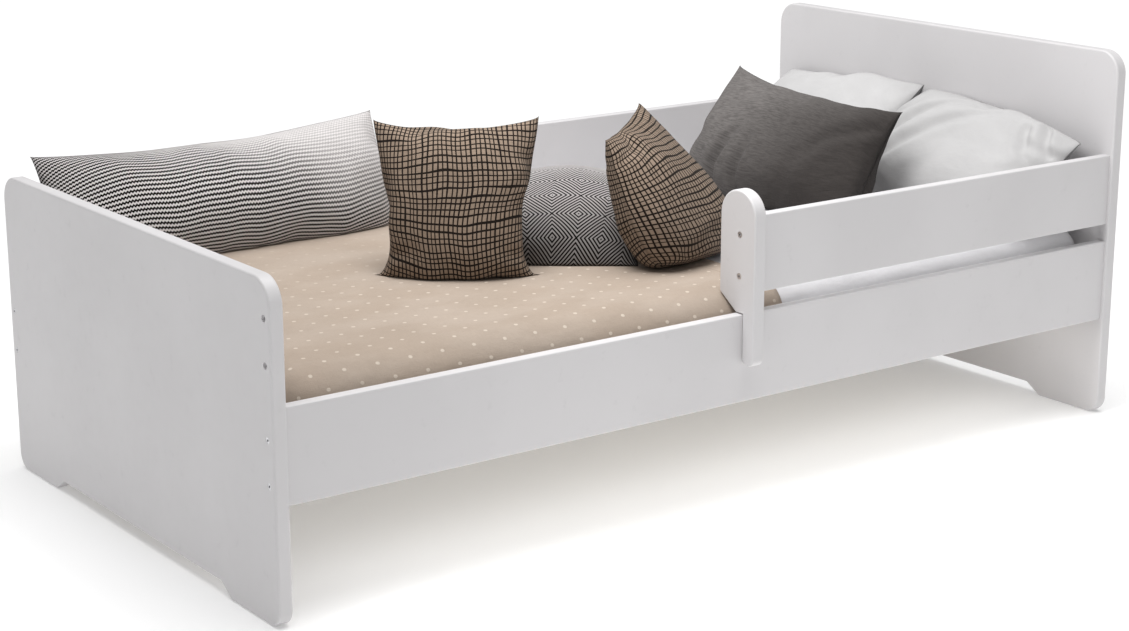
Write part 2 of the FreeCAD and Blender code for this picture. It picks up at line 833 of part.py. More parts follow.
def cam(side, z):
    """A cam with a cross slot in its face and a side slot that holds the bolt's ball."""
    radius = size("cam_radius")
    depth = size("cam_depth")
    face = REAR_Y - size("board_thickness") / 2
    centre_x = side * (size("inner_half_length") - size("cam_setback"))
    disc = Part.makeCylinder(radius, depth, Vector(centre_x, face, z), ACROSS)
    bolt_room = Part.makeCylinder(
        size("cam_bolt_radius") + PLAY,
        radius * 2,
        Vector(centre_x - side * radius * 0.2, REAR_Y, z),
        ALONG * side,
    )
    width = size("cam_slot_width")
    deep = size("cam_slot_depth") + OVERCUT
    slot = Part.makeBox(radius, deep, width, Vector(centre_x - radius / 2, face - OVERCUT, z - width / 2))
    cross = Part.makeBox(width, deep, radius, Vector(centre_x - width / 2, face - OVERCUT, z - radius / 2))
    return disc.cut(bolt_room).cut(slot).cut(cross)


REAR_ENDS = [(side, z) for side in (-1, 1) for z in GUARD_SCREWS]
group("rear_board_cam_bolts", [cam_bolt(side, z) for side, z in REAR_ENDS])
group("rear_board_cams", [cam(side, z) for side, z in REAR_ENDS])
DOWEL_START = size("inner_half_length") - size("dowel_length") * 2 / 3
group(
    "rear_board_dowels",
    [
        Part.makeCylinder(
            size("dowel_radius"),
            size("dowel_length"),
            Vector(side * DOWEL_START, REAR_Y, REAR_DOWEL),
            ALONG * side,
        )
        for side in (-1, 1)
    ],
)


# ---------------------------------------------------------------- mattress and its covers
def make_block(length, width, height, centre, edge_round):
    """A block with its top and upright edges rounded, as a plain shape."""
    block = Part.makeBox(length, width, height)
    block.translate(Vector(-length / 2, -width / 2, 0))
    edges = [edge for edge in block.Edges if edge.BoundBox.ZMax > FACE_TOLERANCE]
    block = block.makeFillet(edge_round, edges)
    block.translate(centre)
    return block


CLOTH = size("cloth_clearance")
SHEET_SKIN = CLOTH + size("sheet_thickness")
SPREAD_SKIN = SHEET_SKIN + CLOTH + size("spread_thickness")


def grown_block(skin):
    """The mattress's own block grown by a skin on its top and sides."""
    return make_block(
        size("mattress_length") + 2 * skin,
        size("mattress_width") + 2 * skin,
        size("mattress_height") + skin,
        Vector(0, MID_Y, size("slat_top")),
        size("mattress_edge_round") + skin,
    )


def cover(label, outer_skin, inner_skin, start_x, end_x):
    """A cover over the mattress: the space between two grown blocks, cut to a stretch of the bed."""
    shell = grown_block(outer_skin).cut(grown_block(inner_skin))
    far = size("overall_length")
    low = max(start_x, -far)
    high = min(end_x, far)
    keep = Part.makeBox(
        high - low,
        size("overall_width"),
        size("overall_width"),
        Vector(low, MID_Y - size("half_width"), size("mattress_top") + outer_skin - size("cloth_drop")),
    )
    item = doc.addObject("Part::Feature", label)
    item.Label = label
    item.Shape = shell.common(keep).Solids[0]
    sub_parts.append(item)


mattress = doc.addObject("Part::Feature", "mattress")
mattress.Label = "mattress"
mattress.Shape = grown_block(0)
sub_parts.append(mattress)
FAR = size("overall_length")
cover("fitted_sheet", SHEET_SKIN, CLOTH, -FAR, FAR)
cover("bedspread", SPREAD_SKIN, SHEET_SKIN + CLOTH, -FAR, size("spread_end"))


# ---------------------------------------------------------------- cushions
def make_cushion(label, kind, x, y, yaw, lean, rest_height):
    """A soft block that stands on the bedding and leans back.

    x and y place its middle, with y from the bed's middle plane; yaw turns it about the vertical and
    lean tips its top back, both in degrees. rest_height is what it rests on.
    """
    width = "$%s_width" % kind
    height = "$%s_height" % kind
    depth = "$%s_depth" % kind
    rounding = size("cushion_rounding") * size("%s_depth" % kind)
    tilt = math.radians(lean)
    half_rise = (size("%s_height" % kind) / 2 - rounding) * math.cos(tilt)
    half_rise += (size("%s_depth" % kind) / 2 - rounding) * math.sin(tilt) + rounding
    centre = Vector(x, MID_Y + y, rest_height + size("pillow_clearance") + half_rise)
    turn = Rotation(Vector(0, 0, 1), yaw) * Rotation(Vector(1, 0, 0), -lean)
    body = new_body(label, centre, turn)
    sketch = new_sketch(body, "XZ_Plane")
    draw_rectangle(sketch, width, height)
    base = pad(body, sketch, depth)
    round_edges(body, base, "$cushion_rounding * " + depth, lambda edge: True)
    return body


def reach_back(kind, lean):
    """How far a leaning cushion reaches behind its middle."""
    rounding = size("cushion_rounding") * size("%s_depth" % kind)
    tilt = math.radians(lean)
    tall = (size("%s_height" % kind) / 2 - rounding) * math.sin(tilt)
    deep = (size("%s_depth" % kind) / 2 - rounding) * math.cos(tilt)
    return tall + deep + rounding


ON_SPREAD = size("spread_top")
ON_SHEET = size("sheet_top")
STRIPED_LEAN = 18
STRIPED_Y = size("board_inner") - size("pillow_clearance") - reach_back("striped", STRIPED_LEAN)
WHITE_LEAN = 48
WHITE_X = size("inner_half_length") - size("pillow_clearance") - reach_back("white", WHITE_LEAN)
WHITE_Y = size("white_width") / 2 + size("pillow_middle_gap")
FACING_FRONT_FOOT = -36.4
FACING_FRONT_HEAD = 25
FACING_FOOT = -90

# label, kind, middle along the bed, middle across it, turn, lean, what it rests on
CUSHIONS = [
    ("striped_cushion", "striped", -487, STRIPED_Y, 0, STRIPED_LEAN, ON_SPREAD),
    ("crosshatch_cushion_left", "grid_left", -279, -43, FACING_FRONT_FOOT, 10, ON_SPREAD),
    ("diamond_cushion", "diamond", -54, 20, FACING_FRONT_FOOT, 78, ON_SPREAD),
    ("crosshatch_cushion_right", "grid_right", 52, -146, FACING_FRONT_HEAD, 22, ON_SPREAD),
    ("grey_cushion", "grey", 494, 34, FACING_FOOT + 5.4, 29, ON_SHEET),
    ("white_pillow_rear", "white", WHITE_X, WHITE_Y, FACING_FOOT, WHITE_LEAN, ON_SHEET),
    ("white_pillow_front", "white", WHITE_X, -WHITE_Y, FACING_FOOT, WHITE_LEAN, ON_SHEET),
]
for cushion in CUSHIONS:
    make_cushion(*cushion)


# ---------------------------------------------------------------- checks and export
doc.recompute()
for item in doc.Objects:
    if "Invalid" in item.State or "Error" in item.State:
        raise RuntimeError("%s failed: %s" % (item.Label, item.State))

os.makedirs("parts", exist_ok=True)
for item in sub_parts:
    shape = item.Shape
    if shape.isNull() or not shape.isValid():
        raise RuntimeError(item.Label + " has no valid shape")
    if not shape.Solids:
        raise RuntimeError(item.Label + " has no solid")
for item in sub_parts:
    item.Shape.exportStep("parts/%s.step" % item.Label)
    box = item.Shape.BoundBox
    print(
        "%-26s solids %2d  x %7.1f %7.1f  y %7.1f %7.1f  z %6.1f %6.1f"
        % (item.Label, len(item.Shape.Solids), box.XMin, box.XMax, box.YMin, box.YMax, box.ZMin, box.ZMax)
    )
print("nodes", len(sub_parts))
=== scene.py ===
import math

import bmesh
import bpy
from mathutils import Matrix, Vector, noise
from mathutils.bvhtree import BVHTree


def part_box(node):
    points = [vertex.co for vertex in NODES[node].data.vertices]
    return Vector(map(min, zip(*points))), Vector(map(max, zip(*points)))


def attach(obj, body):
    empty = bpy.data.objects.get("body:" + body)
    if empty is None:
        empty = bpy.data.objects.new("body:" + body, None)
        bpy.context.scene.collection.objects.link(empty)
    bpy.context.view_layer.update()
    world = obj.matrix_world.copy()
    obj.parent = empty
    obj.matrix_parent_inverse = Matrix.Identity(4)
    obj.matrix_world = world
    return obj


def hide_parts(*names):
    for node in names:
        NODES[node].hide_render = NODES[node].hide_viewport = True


# A toddler bed with its mattress, sheet, bedspread, five cushions and two pillows. Metres, +Z up,
# the headboard at +X and the guard board at -Y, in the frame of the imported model.

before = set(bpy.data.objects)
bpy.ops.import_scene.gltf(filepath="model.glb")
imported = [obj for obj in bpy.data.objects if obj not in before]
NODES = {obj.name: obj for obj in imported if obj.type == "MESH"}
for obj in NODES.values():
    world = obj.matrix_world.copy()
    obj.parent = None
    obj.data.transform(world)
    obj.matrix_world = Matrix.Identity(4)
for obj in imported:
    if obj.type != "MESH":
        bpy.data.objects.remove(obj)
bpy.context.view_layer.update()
MM = 0.001


def colour(red, green, blue):
    """A display colour, 0 to 255, as the linear colour that a shader takes."""
    channels = []
    for value in (red, green, blue):
        value /= 255
        channels.append(value / 12.92 if value < 0.04045 else ((value + 0.055) / 1.055) ** 2.4)
    return (*channels, 1.0)


# ------------------------------------------------------------------ materials
class Surface:
    """A procedural material while its nodes are being joined up."""

    def __init__(self, name, roughness, sheen=0.0, metallic=0.0, specular=0.5):
        self.material = bpy.data.materials.new(name)
        self.material.use_nodes = True
        self.tree = self.material.node_tree
        self.shader = self.tree.nodes["Principled BSDF"]
        self.shader.inputs["Roughness"].default_value = roughness
        self.shader.inputs["Sheen Weight"].default_value = sheen
        self.shader.inputs["Sheen Roughness"].default_value = 0.6
        self.shader.inputs["Metallic"].default_value = metallic
        self.shader.inputs["Specular IOR Level"].default_value = specular

    def feed(self, socket, value):
        if isinstance(value, bpy.types.NodeSocket):
            self.tree.links.new(value, socket)
        else:
            socket.default_value = value

    def node(self, kind, **settings):
        item = self.tree.nodes.new(kind)
        for name, value in settings.items():
            setattr(item, name, value)
        return item

    def math(self, operation, *values):
        item = self.node("ShaderNodeMath", operation=operation)
        for socket, value in zip(item.inputs, values):
            self.feed(socket, value)
        return item.outputs[0]

    def step(self, value, low, high, start=0.0, end=1.0):
        """A smooth change from start to end as the value goes from low to high."""
        item = self.node("ShaderNodeMapRange", interpolation_type="SMOOTHSTEP")
        settings = {"Value": value, "From Min": low, "From Max": high, "To Min": start, "To Max": end}
        for name, number in settings.items():
            self.feed(item.inputs[name], number)
        return item.outputs[0]

    def mix(self, factor, first, second, blend="MIX"):
        item = self.node("ShaderNodeMix", data_type="RGBA", blend_type=blend)
        self.feed(item.inputs[0], factor)
        self.feed(item.inputs[6], first)
        self.feed(item.inputs[7], second)
        return item.outputs[2]

    def point(self):
        """The place in the object's own frame, in metres."""
        return self.node("ShaderNodeTexCoord").outputs["Object"]

    def cloth_point(self):
        """The place in the flat cloth, in metres."""
        item = self.node("ShaderNodeUVMap")
        item.uv_map = "flat"
        return item.outputs[0]

    def split(self, vector):
        item = self.node("ShaderNodeSeparateXYZ")
        self.feed(item.inputs[0], vector)
        return item.outputs

    def stretch(self, vector, scale):
        item = self.node("ShaderNodeVectorMath", operation="MULTIPLY")
        self.feed(item.inputs[0], vector)
        item.inputs[1].default_value = scale
        return item.outputs[0]

    def noise(self, vector, scale, detail=2.0, roughness=0.5):
        item = self.node("ShaderNodeTexNoise")
        self.feed(item.inputs["Vector"], vector)
        item.inputs["Scale"].default_value = scale
        item.inputs["Detail"].default_value = detail
        item.inputs["Roughness"].default_value = roughness
        return item.outputs[0]

    def bump(self, height, distance, strength=1.0):
        """One more layer of relief, height 0 to 1 over the distance in metres."""
        item = self.node("ShaderNodeBump")
        item.inputs["Strength"].default_value = strength
        item.inputs["Distance"].default_value = distance
        self.feed(item.inputs["Height"], height)
        normal = self.shader.inputs["Normal"]
        if normal.links:
            self.feed(item.inputs["Normal"], normal.links[0].from_socket)
        self.feed(normal, item.outputs[0])

    def paint(self, value):
        self.feed(self.shader.inputs["Base Color"], value)


STITCH_HALF_PITCH = 0.0022
STITCHES_FROM_SEAM = 0.0045
SEAM_ROUND = 0.004


def cloth(name, size, pitch, roughness=0.92, sheen=0.03, slub=0.06, seam=True):
    """A woven cloth: returns its surface, its flat coordinates, (u, v), and its light, which varies about 1
    with its light and dark threads and, where it has a seam, falls there with painted shade.

    size is the flat width and height, pitch the spacing of the threads, and slub how uneven they are.
    """
    surface = Surface(name, roughness, sheen, specular=0.12)
    flat = surface.cloth_point()
    u, v, _ = surface.split(flat)
    along = surface.noise(surface.stretch(flat, (90, 1100, 1)), 1.0)
    across = surface.noise(surface.stretch(flat, (1100, 90, 1)), 1.0)
    threads = surface.math("ADD", along, across)
    cloudy = surface.step(surface.noise(flat, 9.0, 3.0), 0.3, 0.7, 1 - slub * 0.5, 1 + slub * 0.5)
    light = surface.math("MULTIPLY_ADD", surface.math("SUBTRACT", threads, 1.0), slub * 4, 1.0)
    light = surface.math("MULTIPLY", light, cloudy)
    u_thread, v_thread = (
        surface.math("ABSOLUTE", surface.math("SINE", surface.math("MULTIPLY", place, math.pi / pitch)))
        for place in (u, v)
    )
    surface.bump(surface.math("MULTIPLY", u_thread, v_thread), pitch * 0.3, 0.5)
    surface.bump(threads, 0.0012, 0.35)
    surface.bump(surface.noise(flat, 38.0, 3.0), 0.004, 0.35)
    if seam:
        from_side, from_end = (
            surface.math("SUBTRACT", extent / 2, surface.math("ABSOLUTE", place))
            for extent, place in zip(size, (u, v))
        )
        edge = surface.math("MINIMUM", from_side, from_end)
        run = surface.math("ADD", u, v)
        dash = surface.step(surface.math("PINGPONG", run, STITCH_HALF_PITCH), 0.0006, 0.0012)
        off_row = surface.math("ABSOLUTE", surface.math("SUBTRACT", edge, STITCHES_FROM_SEAM))
        row = surface.step(off_row, 0.0004, 0.001, 1.0, 0.0)
        surface.bump(surface.step(edge, 0.0, SEAM_ROUND), 0.0025, 0.8)
        surface.bump(surface.math("MULTIPLY", dash, row), 0.0006, 0.8)
        # painted shade: the cloth darkens to 0.72 of its tone within 3 mm of the seam
        light = surface.math("MULTIPLY", light, surface.step(edge, 0.0, 0.003, 0.72, 1.0))
    return surface, flat, (u, v), light


def finish(surface, base, light):
    """Multiply the cloth's colour by its light and dark threads, and by the painted shade at its seam where
    it has one.
    """
    grey = surface.node("ShaderNodeCombineXYZ")
    for socket in grey.inputs:
        surface.feed(socket, light)
    surface.paint(surface.mix(1.0, base, grey.outputs[0], "MULTIPLY"))
    return surface.material


def white_board():
    """White laminated board, faintly pitted and rubbed."""
    surface = Surface("white_board", 0.42, specular=0.4)
    place = surface.point()
    clouds = surface.noise(place, 4.0, 3.0)
    rubbed = surface.noise(place, 60.0, 4.0)
    tone = surface.mix(surface.step(clouds, 0.35, 0.65), colour(213, 211, 212), colour(217, 215, 216))
    surface.paint(surface.mix(surface.step(rubbed, 0.62, 0.8, 0.0, 0.35), tone, colour(204, 202, 203)))
    surface.feed(surface.shader.inputs["Roughness"], surface.step(rubbed, 0.3, 0.7, 0.38, 0.48))
    surface.bump(surface.noise(place, 700.0, 2.0), 0.0002, 0.25)
    surface.bump(surface.noise(place, 45.0, 2.0), 0.0006, 0.12)
    return surface.material


def wood(name, light, dark, along):
    """Planed wood whose grain runs along one axis."""
    surface = Surface(name, 0.6, specular=0.3)
    place = surface.point()
    fine = [420.0] * 3
    broad = [34.0] * 3
    fine[along] = 6.0
    broad[along] = 1.1
    grain = surface.noise(surface.stretch(place, broad), 1.0, 4.0, 0.6)
    rings = surface.math("PINGPONG", surface.math("MULTIPLY", grain, 9.0), 1.0)
    fibre = surface.noise(surface.stretch(place, fine), 1.0, 2.0)
    tone = surface.mix(surface.step(rings, 0.1, 0.9), light, dark)
    surface.paint(surface.mix(surface.step(fibre, 0.45, 0.75, 0.0, 0.4), tone, dark))
    surface.bump(fibre, 0.0004, 0.5)
    surface.bump(rings, 0.0003, 0.4)
    return surface.material


def steel():
    """Zinc-plated steel, spangled and finely scratched."""
    surface = Surface("zinc_steel", 0.34, metallic=1.0)
    place = surface.point()
    scratch = surface.noise(surface.stretch(place, (3000, 500, 3000)), 1.0, 2.0)
    spangle = surface.step(surface.noise(place, 300.0), 0.35, 0.65)
    surface.paint(surface.mix(spangle, colour(186, 186, 188), colour(222, 222, 224)))
    surface.feed(surface.shader.inputs["Roughness"], surface.step(scratch, 0.3, 0.7, 0.26, 0.46))
    surface.bump(scratch, 0.0001, 0.5)
    return surface.material


def webbing():
    """Pale woven tape with slanted ribs."""
    surface = Surface("webbing", 0.85, specular=0.25)
    place = surface.point()
    x, y, _ = surface.split(place)
    slant = surface.math("ADD", x, surface.math("MULTIPLY", y, 0.6))
    ribs = surface.math("MULTIPLY", surface.math("PINGPONG", slant, 0.0016), 600.0)
    surface.paint(surface.mix(ribs, colour(176, 174, 168), colour(222, 220, 214)))
    surface.bump(ribs, 0.0006, 0.8)
    return surface.material


STRIPE_PITCH = 0.0059
TOOTH_HALF_PITCH = 0.0026
DROOP_FROM = 0.17


def stripes(size):
    """Dark zigzag stripes along the cushion that droop at its left end, worn pale towards the top."""
    surface, flat, (u, v), light = cloth("striped_weave", size, 0.0016, slub=0.04)
    tooth = surface.math("MULTIPLY", surface.math("PINGPONG", u, TOOTH_HALF_PITCH), 1 / TOOTH_HALF_PITCH)
    sway = surface.math("MULTIPLY", surface.noise(flat, 7.0), 0.3)
    fine_sway = surface.math("MULTIPLY", surface.noise(flat, 40.0), 0.15)
    past = surface.math("MAXIMUM", surface.math("MULTIPLY_ADD", u, -1.0, -DROOP_FROM), 0.0)
    level = surface.math("MULTIPLY_ADD", surface.math("POWER", past, 2.0), 1.5, v)
    rows = surface.math("MULTIPLY", level, 1 / STRIPE_PITCH)
    rows = surface.math("ADD", rows, surface.math("ADD", sway, fine_sway))
    share = surface.math("FRACT", surface.math("MULTIPLY_ADD", tooth, 0.36, rows))
    off_middle = surface.math("ABSOLUTE", surface.math("SUBTRACT", share, 0.5))
    dark = surface.step(off_middle, 0.23, 0.3, 1.0, 0.0)
    slant = surface.math("MULTIPLY_ADD", u, 0.35, v)
    ragged = surface.math("MULTIPLY_ADD", surface.noise(flat, 9.0), 0.05, slant)
    worn = surface.step(ragged, size[1] * 0.15, size[1] * 0.75, 1.0, 0.3)
    mask = surface.math("MULTIPLY", dark, worn)
    surface.bump(mask, 0.0008, 0.5)
    base = surface.mix(mask, colour(212, 208, 207), colour(12, 8, 5))
    return finish(surface, base, light)


LINE_HALF_WIDTH = 0.00092
LINE_EDGE = 0.0004
LINE_PITCHES = (0.0072, 0.0086)


def crosshatch(name, size):
    """Dark hand-drawn lines both ways, unevenly spaced and swaying."""
    surface, flat, (u, v), light = cloth(name, size, 0.0012, slub=0.07)

    def lines(main, other, pitch, seed):
        offset = surface.node("ShaderNodeCombineXYZ")
        surface.feed(offset.inputs[0], surface.math("MULTIPLY", main, 62.0))
        surface.feed(offset.inputs[1], surface.math("MULTIPLY", other, 5.0))
        offset.inputs[2].default_value = seed
        uneven = surface.noise(offset.outputs[0], 1.0, 1.0)
        sway = surface.noise(surface.stretch(flat, (10, 10, 1)), 1.0, 1.0)
        place = surface.math("MULTIPLY_ADD", uneven, 1.15, surface.math("MULTIPLY", main, 1 / pitch))
        place = surface.math("MULTIPLY_ADD", sway, 1.6, place)
        near = surface.math("ABSOLUTE", surface.math("SUBTRACT", surface.math("FRACT", place), 0.5))
        half = LINE_HALF_WIDTH / pitch
        return surface.step(near, half, half + LINE_EDGE / pitch, 1.0, 0.0)

    drawn = surface.math("MAXIMUM", lines(u, v, LINE_PITCHES[0], 3.1), lines(v, u, LINE_PITCHES[1], 8.7))
    faded = surface.step(surface.noise(flat, 500.0, 2.0), 0.3, 0.7, 0.93, 1.0)
    mask = surface.math("MULTIPLY", drawn, faded)
    base = surface.mix(mask, colour(143, 126, 111), colour(6, 1, 0))
    return finish(surface, base, light)


DIAMOND_HALF = (0.034, 0.040)
DIAMOND_RINGS = 6.0


def diamonds(size):
    """Concentric dark diamonds that fade out towards the top, on a ground that painted shade darkens towards
    the bottom.
    """
    surface, flat, (u, v), light = cloth("diamond_weave", size, 0.0012, slub=0.05)
    half_width, half_height = DIAMOND_HALF
    warp = surface.math("MULTIPLY", surface.math("SUBTRACT", surface.noise(flat, 12.0), 0.5), 0.004)
    across = surface.math("PINGPONG", surface.math("ADD", u, warp), half_width)
    across = surface.math("MULTIPLY", across, 1 / half_width)
    up = surface.math("PINGPONG", surface.math("ADD", v, 0.02), half_height)
    up = surface.math("MULTIPLY", up, 1 / half_height)
    ring = surface.math("ABSOLUTE", surface.math("SUBTRACT", surface.math("ADD", across, up), 1.0))
    ring = surface.math("SUBTRACT", 1.0, ring)
    steps = surface.math("FRACT", surface.math("MULTIPLY", ring, DIAMOND_RINGS))
    mask = surface.step(surface.math("ABSOLUTE", surface.math("SUBTRACT", steps, 0.5)), 0.2, 0.3)
    worn = surface.step(v, size[1] * 0.08, size[1] * 0.45, 1.0, 0.15)
    mask = surface.math("MULTIPLY", mask, worn)
    surface.bump(mask, 0.0006, 0.5)
    # painted shade: the ground goes from a shaded tone at the bottom to its pale tone higher up
    out_of_painted_shade = surface.step(v, -size[1] * 0.45, size[1] * 0.2)
    ground = surface.mix(out_of_painted_shade, colour(128, 124, 122), colour(180, 176, 175))
    base = surface.mix(mask, ground, colour(6, 3, 2))
    return finish(surface, base, light)


def linen(size):
    """Slubbed grey linen, darkened towards its lower right by painted shade."""
    surface, flat, (u, v), light = cloth("grey_linen", size, 0.0014, slub=0.07)
    mottled = surface.noise(surface.stretch(flat, (60, 520, 1)), 1.0, 4.0)
    surface.bump(surface.noise(surface.stretch(flat, (26, 70, 1)), 1.0, 3.0), 0.009, 0.45)
    # painted shade: the linen's tone darkens from its upper left towards its lower right
    slant = surface.math("MULTIPLY_ADD", v, -0.9, u)
    painted_shade_tone = surface.mix(surface.step(slant, -0.22, 0.18), colour(122, 118, 116), colour(62, 58, 56))
    base = surface.mix(surface.step(mottled, 0.35, 0.7, 0.0, 0.42), painted_shade_tone, colour(52, 49, 48))
    return finish(surface, base, light)


def cotton(name, size, tone, seam=True):
    """Plain fine cotton, softly creased."""
    surface, flat, _, light = cloth(name, size, 0.0009, roughness=0.85, sheen=0.05, slub=0.012, seam=seam)
    soft = surface.noise(surface.stretch(flat, (14, 26, 1)), 1.0, 3.0)
    surface.bump(soft, 0.01, 0.25)
    base = surface.mix(surface.step(soft, 0.3, 0.7), tone, [min(1.0, value * 1.05) for value in tone])
    return finish(surface, base, light)


DOT_COLUMN = 0.053
DOT_ROW = 0.025
DOT_RADII = (0.0033, 0.0042)
ROW_SHIFT = 0.34
HEM_STITCHES = 0.053  # along the cloth; its free edge is at SPREAD_END


def dotted(size):
    """Tan cotton with small cream dots on a slanted lattice, fainter towards the rear, and a stitched hem."""
    surface, flat, (u, v), light = cloth("tan_cotton", size, 0.0011, roughness=0.88, slub=0.035, seam=False)
    rows = surface.math("MULTIPLY", v, 1 / DOT_ROW)
    row = surface.math("ROUND", rows)
    column = surface.math("MULTIPLY_ADD", u, 1 / DOT_COLUMN, surface.math("MULTIPLY", row, ROW_SHIFT))
    beside = surface.math("SUBTRACT", surface.math("FRACT", surface.math("ADD", column, 0.5)), 0.5)
    above = surface.math("SUBTRACT", rows, row)
    beside = surface.math("POWER", surface.math("MULTIPLY", beside, DOT_COLUMN), 2.0)
    above = surface.math("POWER", surface.math("MULTIPLY", above, DOT_ROW * 1.15), 2.0)
    reach = surface.math("SQRT", surface.math("ADD", beside, above))
    ragged = surface.math("MULTIPLY", surface.noise(flat, 420.0), 0.0012)
    dot = surface.step(surface.math("ADD", reach, ragged), *DOT_RADII, 0.85, 0.0)
    dot = surface.math("MULTIPLY", dot, surface.step(v, -0.16, 0.24, 1.0, 0.25))
    surface.bump(dot, 0.0006, 0.6)
    from_stitches = surface.math("ABSOLUTE", surface.math("SUBTRACT", HEM_STITCHES, u))
    fold = surface.step(from_stitches, 0.0005, 0.0018, 1.0, 0.0)
    surface.bump(fold, 0.001, -0.8)
    soft = surface.noise(surface.stretch(flat, (6, 11, 1)), 1.0, 3.0)
    surface.bump(soft, 0.012, 0.22)
    base = surface.mix(surface.step(soft, 0.35, 0.7), colour(170, 155, 141), colour(177, 163, 150))
    base = surface.mix(surface.math("MULTIPLY", fold, 0.3), base, colour(130, 113, 97))
    base = surface.mix(dot, base, colour(208, 196, 182))
    return finish(surface, base, light)


QUILT_HALF = 0.035


def quilted():
    """The mattress's diamond-quilted cover, with painted shade in the grooves of its quilting."""
    surface = Surface("mattress_cover", 0.9, 0.1, specular=0.2)
    place = surface.point()
    x, y, _ = surface.split(place)
    first, second = (
        surface.math("PINGPONG", surface.math(way, x, y), QUILT_HALF) for way in ("ADD", "SUBTRACT")
    )
    puff = surface.math("MULTIPLY", surface.math("MINIMUM", first, second), 1 / QUILT_HALF)
    puff = surface.math("POWER", puff, 0.5)
    # painted shade: the cover darkens towards the quilting's grooves
    surface.paint(surface.mix(surface.step(puff, 0.0, 0.3), colour(196, 196, 194), colour(232, 232, 230)))
    surface.bump(surface.noise(place, 900.0), 0.0004, 0.4)
    surface.bump(puff, 0.006, 0.7)
    return surface.material


def floor_paint():
    """Pale paint that gives off a little light."""
    surface = Surface("floor", 0.9, specular=0.0)
    place = surface.point()
    cloudy = surface.step(surface.noise(place, 2.0), 0.3, 0.7)
    surface.paint(surface.mix(cloudy, (0.84, 0.84, 0.84, 1), (0.86, 0.86, 0.86, 1)))
    surface.shader.inputs["Emission Color"].default_value = (1, 1, 1, 1)
    surface.shader.inputs["Emission Strength"].default_value = 0.2
    return surface.material


# ------------------------------------------------------------------ CAD nodes keep their shape
BOARD = white_board()
PINE_ALONG = wood("pine_lengthwise", colour(212, 203, 188), colour(184, 170, 150), 0)
PINE_ACROSS = wood("pine_crosswise", colour(214, 205, 190), colour(186, 172, 152), 1)
BEECH = wood("beech", colour(206, 170, 128), colour(170, 128, 88), 0)
STEEL = steel()
WEBBING = webbing()
BOARDS = ("headboard", "footboard", "rail_front", "rail_rear", "guard_board", "rear_board", "guard_post")


def coat_for(name):
    """The material of a hard CAD node, or None for a soft one."""
    if name in BOARDS:
        return BOARD
    if name.startswith("slat_tape"):
        return WEBBING
    if name.startswith("ledger_") and "screws" not in name:
        return PINE_ALONG
    if name.startswith("slat_") and name != "slat_screws":
        return PINE_ACROSS
    if "screw" in name or "cam" in name:
        return STEEL
    if "dowel" in name:
        return BEECH
    return None


for node_name, node in NODES.items():
    coat = coat_for(node_name)
    if coat:
        for slot in node.material_slots:
            slot.material = coat


# ------------------------------------------------------------------ mesh helpers
def shade_smooth(mesh):
    mesh.polygons.foreach_set("use_smooth", [True] * len(mesh.polygons))


def add_to_scene(name, data):
    item = bpy.data.objects.new(name, data)
    bpy.context.scene.collection.objects.link(item)
    return item


def add_mesh(name, mesh):
    """A smooth object from a bmesh, which is freed."""
    data = bpy.data.meshes.new(name)
    mesh.to_mesh(data)
    mesh.free()
    shade_smooth(data)
    return add_to_scene(name, data)


def bake(item):
    """Apply every modifier of the piece and shade it smooth."""
    graph = bpy.context.evaluated_depsgraph_get()
    mesh = bpy.data.meshes.new_from_object(item.evaluated_get(graph), depsgraph=graph)
    item.modifiers.clear()
    old = item.data
    item.data = mesh
    mesh.name = item.name
    bpy.data.meshes.remove(old)
    shade_smooth(mesh)


# ------------------------------------------------------------------ mattress and its covers
BLOCK_LOW, BLOCK_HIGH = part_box("mattress")
ROUND = 0.054
COVER_CELL = 0.011
BLOCK_CELL = 0.02
CORE = ((BLOCK_HIGH.x - BLOCK_LOW.x) / 2 - ROUND, (BLOCK_HIGH.y - BLOCK_LOW.y) / 2 - ROUND)
BLOCK_X = (BLOCK_LOW.x + BLOCK_HIGH.x) / 2
BLOCK_Y = (BLOCK_LOW.y + BLOCK_HIGH.y) / 2


def over_block(p, q, skin, reach):
    """The place and outward direction on the rounded block where flat cloth point (p, q) lies.

    skin is the cloth's distance from the block, and reach how far the cloth goes beyond the flat core.
    """
    core_x = max(-CORE[0], min(CORE[0], p))
    core_y = max(-CORE[1], min(CORE[1], q))
    a = p - core_x
    b = q - core_y
    if a and b:
        both = 2 * reach * reach
        a, b = a * math.sqrt(1 - b * b / both), b * math.sqrt(1 - a * a / both)
    out = math.hypot(a, b)
    radius = ROUND + skin
    top = BLOCK_HIGH.z + skin
    base = Vector((BLOCK_X + core_x, BLOCK_Y + core_y, top))
    if out < 1e-9:
        return base, Vector((0, 0, 1))
    away = Vector((a / out, b / out, 0))
    quarter = radius * math.pi / 2
    if out < quarter:
        turn = out / radius
        normal = away * math.sin(turn) + Vector((0, 0, math.cos(turn)))
        drop = Vector((0, 0, radius * (math.cos(turn) - 1)))
        return base + away * (radius * math.sin(turn)) + drop, normal
    return base + away * radius - Vector((0, 0, radius + out - quarter)), away


def stations(start, stops, cell):
    """Grid lines from start through each stop, evenly spaced between them."""
    lines = [start]
    for stop in stops:
        count = max(1, round((stop - lines[-1]) / cell))
        begin = lines[-1]
        lines += [begin + (stop - begin) * (index + 1) / count for index in range(count)]
    return lines


